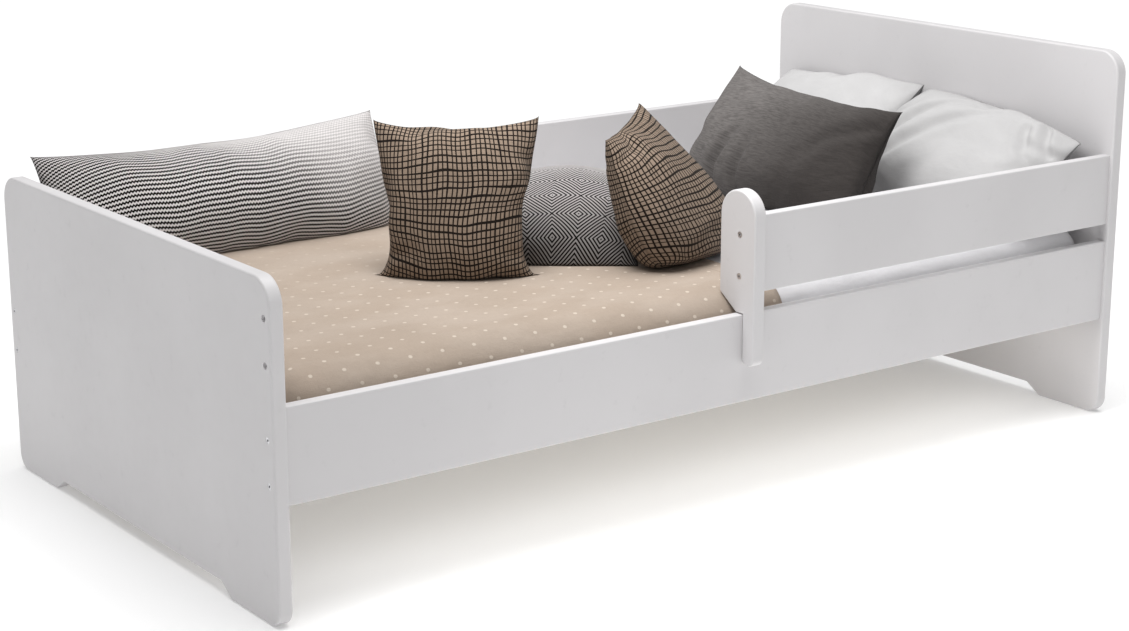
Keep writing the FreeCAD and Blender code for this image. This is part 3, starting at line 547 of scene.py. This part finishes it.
def lay_cover(name, skin, thickness, p_start, p_end, reach, fold):
    """A sheet of cloth over the mattress. fold gives how far a point sinks below the taut surface."""
    bends = [stop for stop in (-CORE[0], CORE[0]) if stop < p_end]
    p_lines = stations(p_start, bends + [p_end], COVER_CELL)
    q_lines = stations(-CORE[1] - reach, [-CORE[1], CORE[1], CORE[1] + reach], COVER_CELL)
    mesh = bmesh.new()
    flat = mesh.loops.layers.uv.new("flat")
    grid = []
    for q in q_lines:
        row = []
        for p in p_lines:
            place, normal = over_block(p, q, skin, reach)
            row.append(mesh.verts.new(place - normal * fold(p, q)))
        grid.append(row)
    for j in range(len(q_lines) - 1):
        for i in range(len(p_lines) - 1):
            face = mesh.faces.new((grid[j][i], grid[j][i + 1], grid[j + 1][i + 1], grid[j + 1][i]))
            corners = ((i, j), (i + 1, j), (i + 1, j + 1), (i, j + 1))
            for loop, (a, b) in zip(face.loops, corners):
                loop[flat].uv = (p_lines[a], q_lines[b])
    item = add_mesh(name, mesh)
    solid = item.modifiers.new("cloth_thickness", "SOLIDIFY")
    solid.thickness = thickness
    solid.offset = -1
    bake(item)
    return item


def soft_noise(p, q, scale, seed):
    """Smooth noise over the flat cloth, about -1 to 1."""
    return noise.noise(Vector((p * scale, q * scale, seed)))


SHEET_LOW, SHEET_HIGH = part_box("fitted_sheet")
SPREAD_LOW, SPREAD_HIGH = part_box("bedspread")
SPREAD_EXTRA = 0.015
SHEET_THICKNESS = 0.0016
SPREAD_THICKNESS = 0.0022
SHEET_SKIN = SHEET_HIGH.z - BLOCK_HIGH.z
SPREAD_SKIN = SPREAD_HIGH.z - BLOCK_HIGH.z
SHEET_REACH = (ROUND + SHEET_SKIN) * (math.pi / 2 - 1) + SHEET_HIGH.z - SHEET_LOW.z
SPREAD_REACH = (ROUND + SPREAD_SKIN) * (math.pi / 2 - 1) + SPREAD_HIGH.z - SPREAD_LOW.z
SPREAD_END = SPREAD_HIGH.x - BLOCK_X + SPREAD_EXTRA


def sheet_fold(p, q):
    """Taut, with small ripples near the corners."""
    corner = max(0.0, abs(p) - CORE[0] + 0.12) * max(0.0, abs(q) - CORE[1] + 0.12) / 0.02
    ripple = abs(soft_noise(p + q, p - q, 22, 1.7)) * 0.0012 * min(1.0, corner)
    return 0.0002 + 0.0005 * (0.5 + 0.5 * soft_noise(p, q, 7, 2.3)) + ripple


def spread_fold(p, q):
    """Broad soft hollows and a few slight creases."""
    broad = 0.5 + 0.5 * soft_noise(p * 0.6, q * 1.2, 6, 5.1)
    crease = 1 - min(1.0, abs(soft_noise(p * 0.4 + q * 0.15, q, 11, 9.4)) * 7)
    return 0.0001 + 0.0006 * broad + 0.0005 * crease * crease


def finish_cover(item, material, node):
    item.data.materials.clear()
    item.data.materials.append(material)
    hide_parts(node)
    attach(item, "root")


sheet_size = (2 * (CORE[0] + SHEET_REACH), 2 * (CORE[1] + SHEET_REACH))
sheet_start = -CORE[0] - SHEET_REACH
fitted = lay_cover(
    "fitted_sheet_cloth", SHEET_SKIN, SHEET_THICKNESS, sheet_start, -sheet_start, SHEET_REACH, sheet_fold
)
sheet_cotton = cotton("white_cotton_sheet", sheet_size, colour(217, 216, 218), seam=False)
finish_cover(fitted, sheet_cotton, "fitted_sheet")

spread_size = (CORE[0] + SPREAD_REACH + SPREAD_END, 2 * (CORE[1] + SPREAD_REACH))
spread_start = -CORE[0] - SPREAD_REACH
spread = lay_cover(
    "bedspread_cloth", SPREAD_SKIN, SPREAD_THICKNESS, spread_start, SPREAD_END, SPREAD_REACH, spread_fold
)
finish_cover(spread, dotted(spread_size), "bedspread")

PIPE_RADIUS = 0.0032
PIPE_SIDES = 10
PIPE_LEVEL = 0.011
PIPE_PROUD = 0.001
CORNER_STEPS = 8
UNDERSIDE_GAP = 0.0005


def make_mattress():
    """The mattress's rounded block with its piped lower seam."""
    reach = ROUND * (math.pi / 2 - 1) + BLOCK_HIGH.z - BLOCK_LOW.z - UNDERSIDE_GAP
    p_lines = stations(-CORE[0] - reach, [-CORE[0], CORE[0], CORE[0] + reach], BLOCK_CELL)
    q_lines = stations(-CORE[1] - reach, [-CORE[1], CORE[1], CORE[1] + reach], BLOCK_CELL)
    mesh = bmesh.new()
    grid = [[mesh.verts.new(over_block(p, q, 0.0, reach)[0]) for p in p_lines] for q in q_lines]
    for j in range(len(q_lines) - 1):
        for i in range(len(p_lines) - 1):
            mesh.faces.new((grid[j][i], grid[j][i + 1], grid[j + 1][i + 1], grid[j + 1][i]))
    rim = grid[0][:-1] + [row[-1] for row in grid[:-1]] + grid[-1][:0:-1] + [row[0] for row in grid[:0:-1]]
    mesh.faces.new(list(reversed(rim)))
    # the piping follows the outline, a little above the slats
    rings = []
    for corner_x, corner_y, start in ((1, 1, 0), (-1, 1, 90), (-1, -1, 180), (1, -1, 270)):
        for step in range(CORNER_STEPS + 1):
            angle = math.radians(start + 90 * step / CORNER_STEPS)
            x = corner_x * CORE[0] + ROUND * math.cos(angle)
            y = corner_y * CORE[1] + ROUND * math.sin(angle)
            away = Vector((math.cos(angle), math.sin(angle), 0))
            centre = Vector((BLOCK_X + x, BLOCK_Y + y, BLOCK_LOW.z + PIPE_LEVEL)) + away * PIPE_PROUD
            ring = []
            for side in range(PIPE_SIDES):
                turn = 2 * math.pi * side / PIPE_SIDES
                rise = Vector((0, 0, PIPE_RADIUS * math.sin(turn)))
                ring.append(mesh.verts.new(centre + away * (PIPE_RADIUS * math.cos(turn)) + rise))
            rings.append(ring)
    for index, ring in enumerate(rings):
        after = rings[(index + 1) % len(rings)]
        for side in range(PIPE_SIDES):
            other = (side + 1) % PIPE_SIDES
            mesh.faces.new((ring[side], after[side], after[other], ring[other]))
    bmesh.ops.recalc_face_normals(mesh, faces=mesh.faces)
    item = add_mesh("mattress_quilted", mesh)
    item.data.materials.append(quilted())
    return item


mattress = make_mattress()
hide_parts("mattress")
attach(mattress, "root")


# ------------------------------------------------------------------ cushions
CUSHION_CELL = 0.0075
START_BULGE = 0.006
SEAM_CREASE = 0.55
BEDDING_SINK = 0.0003
OUTLINE_POWER = 2.4
BACK_FOLD_SHARE = 0.4
FOLD_RIM = 0.45
RIM_FROM_FOLD = 1.7
WOBBLE = 0.003
PLEATS = 9
PLEAT_HEIGHT = 0.0016
PLEAT_FROM_EAR = 0.045
PLEAT_SPREAD = 0.035
UPWARD = Vector((0.3, 0.2, 0.93))
NEIGHBOUR_GAP = 0.0015
NEIGHBOUR_REACH = 0.09
MOST_CROSSINGS = 12


class Cushion:
    """Two sheets of cloth sewn round their edge, filled, shaped and put in the place of its CAD node.

    It stands in its own x and z with y through it: yaw turns it and lean tips it back, in degrees. ears are
    its corners from the bottom left, anticlockwise, and middles the middles of its four sides, all in mm.
    slump makes it thicker low down, sink bends its middle forward and its edges back, drop and twist swing
    its lower part and its lower right corner back, and waist moves the bows of its left and right sides down.
    Each fold has a depth, a spread and a path in shares of the half sizes. The front is at -y.
    """

    def __init__(
        self, node, material, slot, flat, depth, yaw, lean, ears, middles,
        slump=0.3, sink=0.0, waist=0.0, drop=0.0, twist=0.0, folds=(), fill=0.6, seed=0.0,
    ):
        self.node = node
        self.flat = flat
        self.depth = depth
        low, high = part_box(node)
        self.rest = low.z - BEDDING_SINK
        turned = Matrix.Translation((low + high) / 2) @ Matrix.Rotation(math.radians(yaw), 4, "Z")
        self.place = turned @ Matrix.Rotation(math.radians(-lean), 4, "X")
        self.ears = ears
        self.middles = middles
        self.slump = slump
        self.sink = sink
        self.waist = waist
        self.drop = drop
        self.twist = twist
        self.folds = folds
        self.seed = seed
        self.fill = fill
        self.build()
        self.item.data.materials.append(material)

    def build(self):
        """The two flat sheets on one grid, joined at their edge."""
        width, height = self.flat
        across = max(2, round(width / CUSHION_CELL))
        up = max(2, round(height / CUSHION_CELL))
        self.across, self.up = across, up
        mesh = bmesh.new()
        uv = mesh.loops.layers.uv.new("flat")
        crease = mesh.edges.layers.float.new("crease_edge")
        self.spots = []  # each vertex's place, -1 to 1 both ways, and its side: -1 front, 0 seam, 1 back
        grids = []
        for side in (-1, 1):
            rows = []
            for j in range(up + 1):
                row = []
                for i in range(across + 1):
                    if side == 1 and (i in (0, across) or j in (0, up)):
                        row.append(grids[0][j][i])
                        continue
                    u = 2 * i / across - 1
                    w = 2 * j / up - 1
                    bulge = (1 - u * u) * (1 - w * w)
                    place = (u * width / 2, side * START_BULGE * bulge, w * height / 2)
                    row.append(mesh.verts.new(place))
                    self.spots.append((u, w, 0 if i in (0, across) or j in (0, up) else side))
                rows.append(row)
            grids.append(rows)
        mesh.verts.index_update()
        for side, rows in zip((-1, 1), grids):
            for j in range(up):
                for i in range(across):
                    quad = [(i, j), (i + 1, j), (i + 1, j + 1), (i, j + 1)]
                    if side == 1:
                        quad.reverse()
                    face = mesh.faces.new([rows[b][a] for a, b in quad])
                    for loop, (a, b) in zip(face.loops, quad):
                        loop[uv].uv = ((a / across - 0.5) * width, (b / up - 0.5) * height)
        for edge in mesh.edges:
            ends = [self.spots[vertex.index] for vertex in edge.verts]
            on_seam = all(spot[2] == 0 for spot in ends)
            if on_seam and any(abs(ends[0][way]) == abs(ends[1][way]) == 1 for way in (0, 1)):
                edge[crease] = SEAM_CREASE
        rows = grids[0]
        self.corners = [rows[0][0].index, rows[0][across].index, rows[up][across].index, rows[up][0].index]
        self.seams = {
            "bottom": [vertex.index for vertex in rows[0]],
            "right": [row[-1].index for row in rows],
            "top": [vertex.index for vertex in rows[-1]],
            "left": [row[0].index for row in rows],
        }
        self.item = add_mesh(self.node + "_cloth", mesh)

    def start_filling(self, frames):
        """Add the cloth simulation that fills the cushion, and the smoothing after it."""
        fill = self.item.modifiers.new("fill", "CLOTH")
        settings = fill.settings
        settings.quality = 5
        settings.mass = 0.02
        settings.tension_stiffness = settings.compression_stiffness = 15
        settings.shear_stiffness = 5
        settings.bending_stiffness = 0.1
        settings.tension_damping = settings.compression_damping = settings.shear_damping = 5
        settings.air_damping = 1
        settings.use_pressure = True
        settings.uniform_pressure_force = 4
        settings.effector_weights.gravity = 0
        fill.collision_settings.use_collision = False
        fill.collision_settings.use_self_collision = False
        fill.point_cache.frame_start = 1
        fill.point_cache.frame_end = frames
        relax = self.item.modifiers.new("relax", "SMOOTH")
        relax.factor = 0.5
        relax.iterations = 12

    def shape(self):
        """Size the filled cloth, pull its ears and sides to their places and press in its folds."""
        vertices = self.item.data.vertices
        points = [vertex.co.copy() for vertex in vertices]
        thick = max(point.y for point in points) - min(point.y for point in points)
        for point in points:
            point.y *= self.depth / thick
        self.pull_ears(points)
        self.pull_sides(points)
        for point, (u, w, side) in zip(points, self.spots):
            point.y *= 1 - self.slump * w
            point.y += self.drop * ((1 - w) / 2) ** 2 + self.twist * (1 + u) * (1 - w) / 4
            point.y += self.sink * (abs(u) ** 3 + abs(w) ** 3 - 0.6 * (1 - u * u) * (1 - w * w))
            if side:
                margin = min(1 - abs(u), 1 - abs(w)) * 6
                point.y -= side * self.relief(u, w, side) * min(1.0, margin)
        for vertex, point in zip(vertices, points):
            vertex.co = point

    def pull_ears(self, points):
        """Move the four corners to the ears' places, and the rest in proportion."""
        half_x = abs(points[self.corners[1]].x)
        half_z = abs(points[self.corners[2]].z)
        moves = []
        for index, (x, z) in zip(self.corners, self.ears):
            moves.append(Vector((x * MM - points[index].x, 0, z * MM - points[index].z)))
        for point in points:
            u = point.x / half_x
            w = point.z / half_z
            shares = ((1 - u) * (1 - w), (1 + u) * (1 - w), (1 + u) * (1 + w), (1 - u) * (1 + w))
            for share, move in zip(shares, moves):
                point += move * (share / 4)

    def pull_sides(self, points):
        """Move the four seams to their outlines, and the rest less the further it is from them."""
        outline = {side: self.to_outline(points, side) for side in self.seams}
        for point, (u, w, _) in zip(points, self.spots):
            column = round((u + 1) / 2 * self.across)
            row = round((w + 1) / 2 * self.up)
            for side, step, near in (
                ("bottom", column, 1 - w),
                ("top", column, 1 + w),
                ("left", row, 1 - u),
                ("right", row, 1 + u),
            ):
                shift, level = outline[side][step]
                if side in ("bottom", "top"):
                    point.z += shift * (near / 2) ** 2
                else:
                    point.x += shift * (near / 2) ** 2
                point.y += level * (near / 2) ** 6

    def relief(self, u, w, side):
        """How far the cloth at (u, w) is pressed in: its folds, less its crumples and the ears' pleats."""
        width, height = self.flat
        a = u * width / 2
        b = w * height / 2
        press = 0.0
        for depth, spread, path in self.folds:
            near, along = min(self.from_line(a, b, path, step) for step in range(len(path) - 1))
            rim = math.exp(-(((near - RIM_FROM_FOLD * spread) / spread) ** 2))
            press += depth * (1 - along * along) * (math.exp(-((near / spread) ** 2)) - FOLD_RIM * rim)
        if side == 1:
            press *= BACK_FOLD_SHARE
        crumple = soft_noise(a, b, 26, self.seed + side) * 0.0011
        crumple += soft_noise(a, b, 60, self.seed - side) * 0.0005
        for ear_u in (-1, 1):
            for ear_w in (-1, 1):
                da = (u - ear_u) * width / 2
                db = (w - ear_w) * height / 2
                away = math.hypot(da, db)
                if away > 0.001:
                    ray = math.atan2(db, da) * PLEATS + soft_noise(a, b, 12, self.seed + 3) * 2
                    ring = math.exp(-(((away - PLEAT_FROM_EAR) / PLEAT_SPREAD) ** 2))
                    crumple += PLEAT_HEIGHT * math.sin(ray) * ring
        return press - crumple

    def to_outline(self, points, side):
        """For each vertex of one seam, its way to the smooth outline and its way to the middle plane."""
        line = self.seams[side]
        axis = 2 if side in ("bottom", "top") else 0
        first = points[line[0]][axis]
        last = points[line[-1]][axis]
        bow = self.middles[side] * MM - (first + last) / 2
        moves = []
        for step, index in enumerate(line):
            share = 2 * step / (len(line) - 1) - 1
            wobble = soft_noise(share * 2.2, len(side), 1.0, self.seed) * WOBBLE * (1 - share * share)
            target = first + (last - first) * (share + 1) / 2 + wobble
            if axis == 0:
                share += self.waist * (1 - share * share)
            target += bow * (1 - abs(share) ** OUTLINE_POWER)
            moves.append((target - points[index][axis], -points[index].y))
        return moves

    def from_line(self, a, b, path, step):
        """How far flat cloth point (a, b) is from one stretch of a fold, and how far along the fold."""
        width, height = self.flat
        start = Vector((path[step][0] * width / 2, path[step][1] * height / 2))
        stop = Vector((path[step + 1][0] * width / 2, path[step + 1][1] * height / 2))
        spot = Vector((a, b))
        run = stop - start
        share = max(0.0, min(1.0, (spot - start).dot(run) / run.length_squared))
        return (spot - start - run * share).length, (step + share) / (len(path) - 1)

    def put_down(self, limits):
        """Move to the bed, rest on what is under it and stay off the boards round it.

        Each limit is an axis, the sign of the way out, and how far the cushion may go.
        """
        for vertex in self.item.data.vertices:
            point = self.place @ vertex.co
            point.z = max(point.z, self.rest)
            for axis, sign, limit in limits:
                if sign * (point[axis] - limit) > 0:
                    point[axis] = limit
            vertex.co = point

    def tree(self):
        data = self.item.data
        places = [vertex.co for vertex in data.vertices]
        return BVHTree.FromPolygons(places, [tuple(face.vertices) for face in data.polygons])

    def give_way(self, other):
        """Dent this cushion where the other one is.

        A point is inside the other one if a ray from it crosses that one an odd number of times.
        """
        tree = other.tree()
        for vertex in self.item.data.vertices:
            spot = vertex.co
            found, normal, _, away = tree.find_nearest(spot)
            if found is None or away > NEIGHBOUR_REACH:
                continue
            hits = 0
            start = spot.copy()
            for _ in range(MOST_CROSSINGS):
                hit, _, _, _ = tree.ray_cast(start, UPWARD)
                if hit is None:
                    break
                hits += 1
                start = hit + UPWARD * 1e-5
            if hits % 2 == 1 or away < NEIGHBOUR_GAP:
                vertex.co = found + normal * NEIGHBOUR_GAP
                vertex.co.z = max(vertex.co.z, self.rest)

    def settle(self):
        """Subdivide the finished piece once and tie it to its body."""
        smooth = self.item.modifiers.new("smooth", "SUBSURF")
        smooth.levels = smooth.render_levels = 1
        bake(self.item)
        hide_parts(self.node)
        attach(self.item, self.node + "_body")


STRIPED_FLAT = (0.655, 0.222)
GRID_LEFT_FLAT = (0.278, 0.268)
DIAMOND_FLAT = (0.272, 0.275)
GRID_RIGHT_FLAT = (0.252, 0.262)
GREY_FLAT = (0.445, 0.262)
WHITE_FLAT = (0.405, 0.262)

striped = Cushion(
    "striped_cushion", stripes(STRIPED_FLAT), "striped_weave", STRIPED_FLAT, depth=0.116, yaw=0, lean=18,
    ears=((-308, -96), (314, -96), (309, 112), (-313, 102)),
    middles={"bottom": -110, "right": 308, "top": 90, "left": -300},
    slump=0.35,
    folds=(
        (0.006, 0.012, ((0.10, -0.98), (0.18, -0.5), (0.24, -0.05))),
        (0.003, 0.012, ((0.62, -0.9), (0.7, -0.2))),
    ),
    fill=0.7, seed=11.0,
)
grid_left = Cushion(
    "crosshatch_cushion_left", crosshatch("crosshatch_left", GRID_LEFT_FLAT), "crosshatch_weave",
    GRID_LEFT_FLAT, depth=0.116, yaw=-36.4, lean=10,
    ears=((-130, -118), (132, -119), (128, 134), (-129, 129)),
    middles={"bottom": -128, "right": 100, "top": 114, "left": -102}, waist=0.45,
    folds=(
        (0.006, 0.009, ((-1.0, -0.6), (-0.75, -0.58), (-0.4, -0.42))),
        (0.006, 0.009, ((1.0, -0.62), (0.8, -0.6), (0.5, -0.5))),
        (0.004, 0.008, ((0.98, 0.3), (0.7, 0.2), (0.55, 0.02))),
    ),
    fill=0.6, seed=23.0,
)
diamond = Cushion(
    "diamond_cushion", diamonds(DIAMOND_FLAT), "diamond_weave", DIAMOND_FLAT, depth=0.092, yaw=-36.4, lean=78,
    ears=((-134, -150), (140, -160), (150, 136), (-140, 132)),
    middles={"bottom": -156, "right": 142, "top": 132, "left": -128},
    slump=0.25, sink=0.004, drop=0.028, fill=0.6, seed=31.0,
)
grid_right = Cushion(
    "crosshatch_cushion_right", crosshatch("crosshatch_right", GRID_RIGHT_FLAT), "crosshatch_weave",
    GRID_RIGHT_FLAT, depth=0.114, yaw=25, lean=22,
    ears=((-100, -116), (112, -134), (6, 136), (-130, 94)),
    middles={"bottom": -136, "right": 78, "top": 108, "left": -148}, waist=0.3,
    slump=0.5, twist=-0.038,
    folds=(
        (0.005, 0.010, ((-0.6, -0.75), (0.1, -0.55), (0.8, -0.6))),
        (0.004, 0.009, ((-0.95, 0.55), (-0.5, 0.62), (-0.2, 0.9))),
        (0.004, 0.009, ((0.2, -0.9), (0.3, -0.6))),
    ),
    fill=0.6, seed=47.0,
)
grey = Cushion(
    "grey_cushion", linen(GREY_FLAT), "grey_linen", GREY_FLAT, depth=0.130, yaw=-84.6, lean=29,
    ears=((-232, -104), (192, -112), (206, 100), (-199, 136)),
    middles={"bottom": -128, "right": 186, "top": 97, "left": -216},
    folds=(
        (0.024, 0.009, ((-0.86, -1.1), (-0.84, -0.4), (-0.95, 0.1))),
        (0.026, 0.009, ((-0.5, -1.1), (-0.45, -0.4), (-0.3, 0.1))),
        (0.022, 0.008, ((-0.14, -1.1), (-0.22, -0.5), (-0.14, 0.0))),
        (0.008, 0.008, ((-0.62, 0.75), (-0.3, 0.55), (0.05, 0.62))),
        (0.007, 0.008, ((-0.5, 0.55), (-0.25, 0.4), (0.0, 0.42))),
        (0.006, 0.012, ((0.9, 0.55), (0.5, 0.2), (0.3, -0.2), (0.28, -0.7))),
    ),
    fill=0.6, seed=53.0,
)
white_rear = Cushion(
    "white_pillow_rear", cotton("white_cotton_rear", WHITE_FLAT, colour(197, 196, 196)), "white_cotton",
    WHITE_FLAT, depth=0.116, yaw=-90, lean=48,
    ears=((-186, -114), (170, -112), (168, 138), (-186, 112)),
    middles={"bottom": -122, "right": 160, "top": 128, "left": -180},
    folds=((0.004, 0.012, ((0.95, 0.2), (0.7, 0.35), (0.5, 0.75))),),
    fill=0.7, seed=61.0,
)
# painted shade: the front pillow's cotton is a darker copy of the rear pillow's white cotton
white_front = Cushion(
    "white_pillow_front", cotton("white_cotton_front_painted_shade", WHITE_FLAT, colour(189, 188, 188)), "white_cotton",
    WHITE_FLAT, depth=0.116, yaw=-90, lean=48,
    ears=((-206, -114), (186, -110), (199, 72), (-200, 130)),
    middles={"bottom": -122, "right": 184, "top": 116, "left": -226},
    folds=(
        (0.016, 0.010, ((-0.98, -0.7), (-0.7, -0.1), (-0.35, 0.5), (0.0, 0.8))),
        (0.015, 0.010, ((-0.9, -0.85), (-0.45, -0.15), (0.0, 0.4), (0.35, 0.7))),
        (0.012, 0.009, ((-0.98, -0.4), (-0.82, 0.2), (-0.6, 0.6))),
        (0.009, 0.010, ((0.98, 0.55), (0.7, 0.35), (0.45, 0.3))),
        (0.004, 0.010, ((0.98, 0.1), (0.7, -0.05), (0.4, -0.5))),
        (0.012, 0.009, ((0.62, 0.8), (0.74, 0.5), (0.9, 0.3))),
        (0.009, 0.008, ((0.5, 0.55), (0.62, 0.2), (0.85, 0.0))),
    ),
    fill=0.7, seed=71.0,
)
CUSHIONS = [striped, grid_left, diamond, grid_right, grey, white_rear, white_front]

FRAMES = 16
for cushion in CUSHIONS:
    cushion.start_filling(FRAMES)
for number in range(1, FRAMES + 1):
    bpy.context.scene.frame_set(number)
for cushion in CUSHIONS:
    bake(cushion.item)
bpy.context.scene.frame_set(1)

GAP = 0.001
FOOT_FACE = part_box("footboard")[1].x + GAP
HEAD_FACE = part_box("headboard")[0].x - GAP
REAR_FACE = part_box("rear_board")[0].y - GAP
GUARD_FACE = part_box("guard_board")[1].y + GAP
LIMITS = ((0, -1, FOOT_FACE), (0, 1, HEAD_FACE), (1, 1, REAR_FACE), (1, -1, GUARD_FACE))
for cushion in CUSHIONS:
    cushion.shape()
    cushion.put_down(LIMITS)
# the first of each pair is dented where the second one is
diamond.give_way(grid_left)
diamond.give_way(grid_right)
grid_left.give_way(striped)
white_rear.give_way(grey)
white_front.give_way(grey)
white_rear.give_way(white_front)
for cushion in CUSHIONS:
    cushion.settle()


# ------------------------------------------------------------------ floor, light and camera
def make_floor():
    mesh = bmesh.new()
    bmesh.ops.create_grid(mesh, x_segments=8, y_segments=8, size=30)
    item = add_mesh("floor", mesh)
    item.location.z = -0.0005
    item.data.materials.append(floor_paint())


def add_light(name, kind, energy, place, back, **settings):
    """A light at a place whose back is turned to a direction. It is hidden from the camera."""
    light = bpy.data.lights.new(name, kind)
    light.energy = energy
    for setting, value in settings.items():
        setattr(light, setting, value)
    item = add_to_scene(name, light)
    item.location = place
    item.rotation_euler = Vector(back).to_track_quat("Z", "Y").to_euler()
    item.visible_camera = False


make_floor()
world = bpy.data.worlds.new("studio")
bpy.context.scene.world = world
world.use_nodes = True
backdrop = world.node_tree.nodes["Background"]
backdrop.inputs[0].default_value = (1, 1, 1, 1)
backdrop.inputs[1].default_value = 0.31

# a broad soft light from above, and a softbox near the camera's side that favours the front and foot end
add_light("key", "SUN", 2.1, (0, 0, 0), (0.02, 0, 1), angle=0.9)
add_light("fill", "AREA", 13.5, (-0.35, -0.25, 1.5), (-1.15, -0.45, 1), size=0.7)
# a weak light under the front rail keeps the floor there pale
add_light("low_fill", "AREA", 1.0, (0, -0.37, 0.17), (0, 0, 1), shape="RECTANGLE", size=1.5, size_y=0.26)

CAMERA_PLACE = (-2.1901, -2.9081, 1.1938)
CAMERA_AIM = (-0.039, 0.010, 0.2202)
camera = bpy.data.cameras.new("camera")
camera.lens = 72.27
camera.sensor_width = 36
camera_object = add_to_scene("camera", camera)
camera_object.location = CAMERA_PLACE
aim = Vector(CAMERA_AIM) - camera_object.location
camera_object.rotation_euler = aim.to_track_quat("-Z", "Y").to_euler()
bpy.context.scene.camera = camera_object
bpy.context.scene.view_settings.view_transform = "Standard"

bpy.context.view_layer.update()
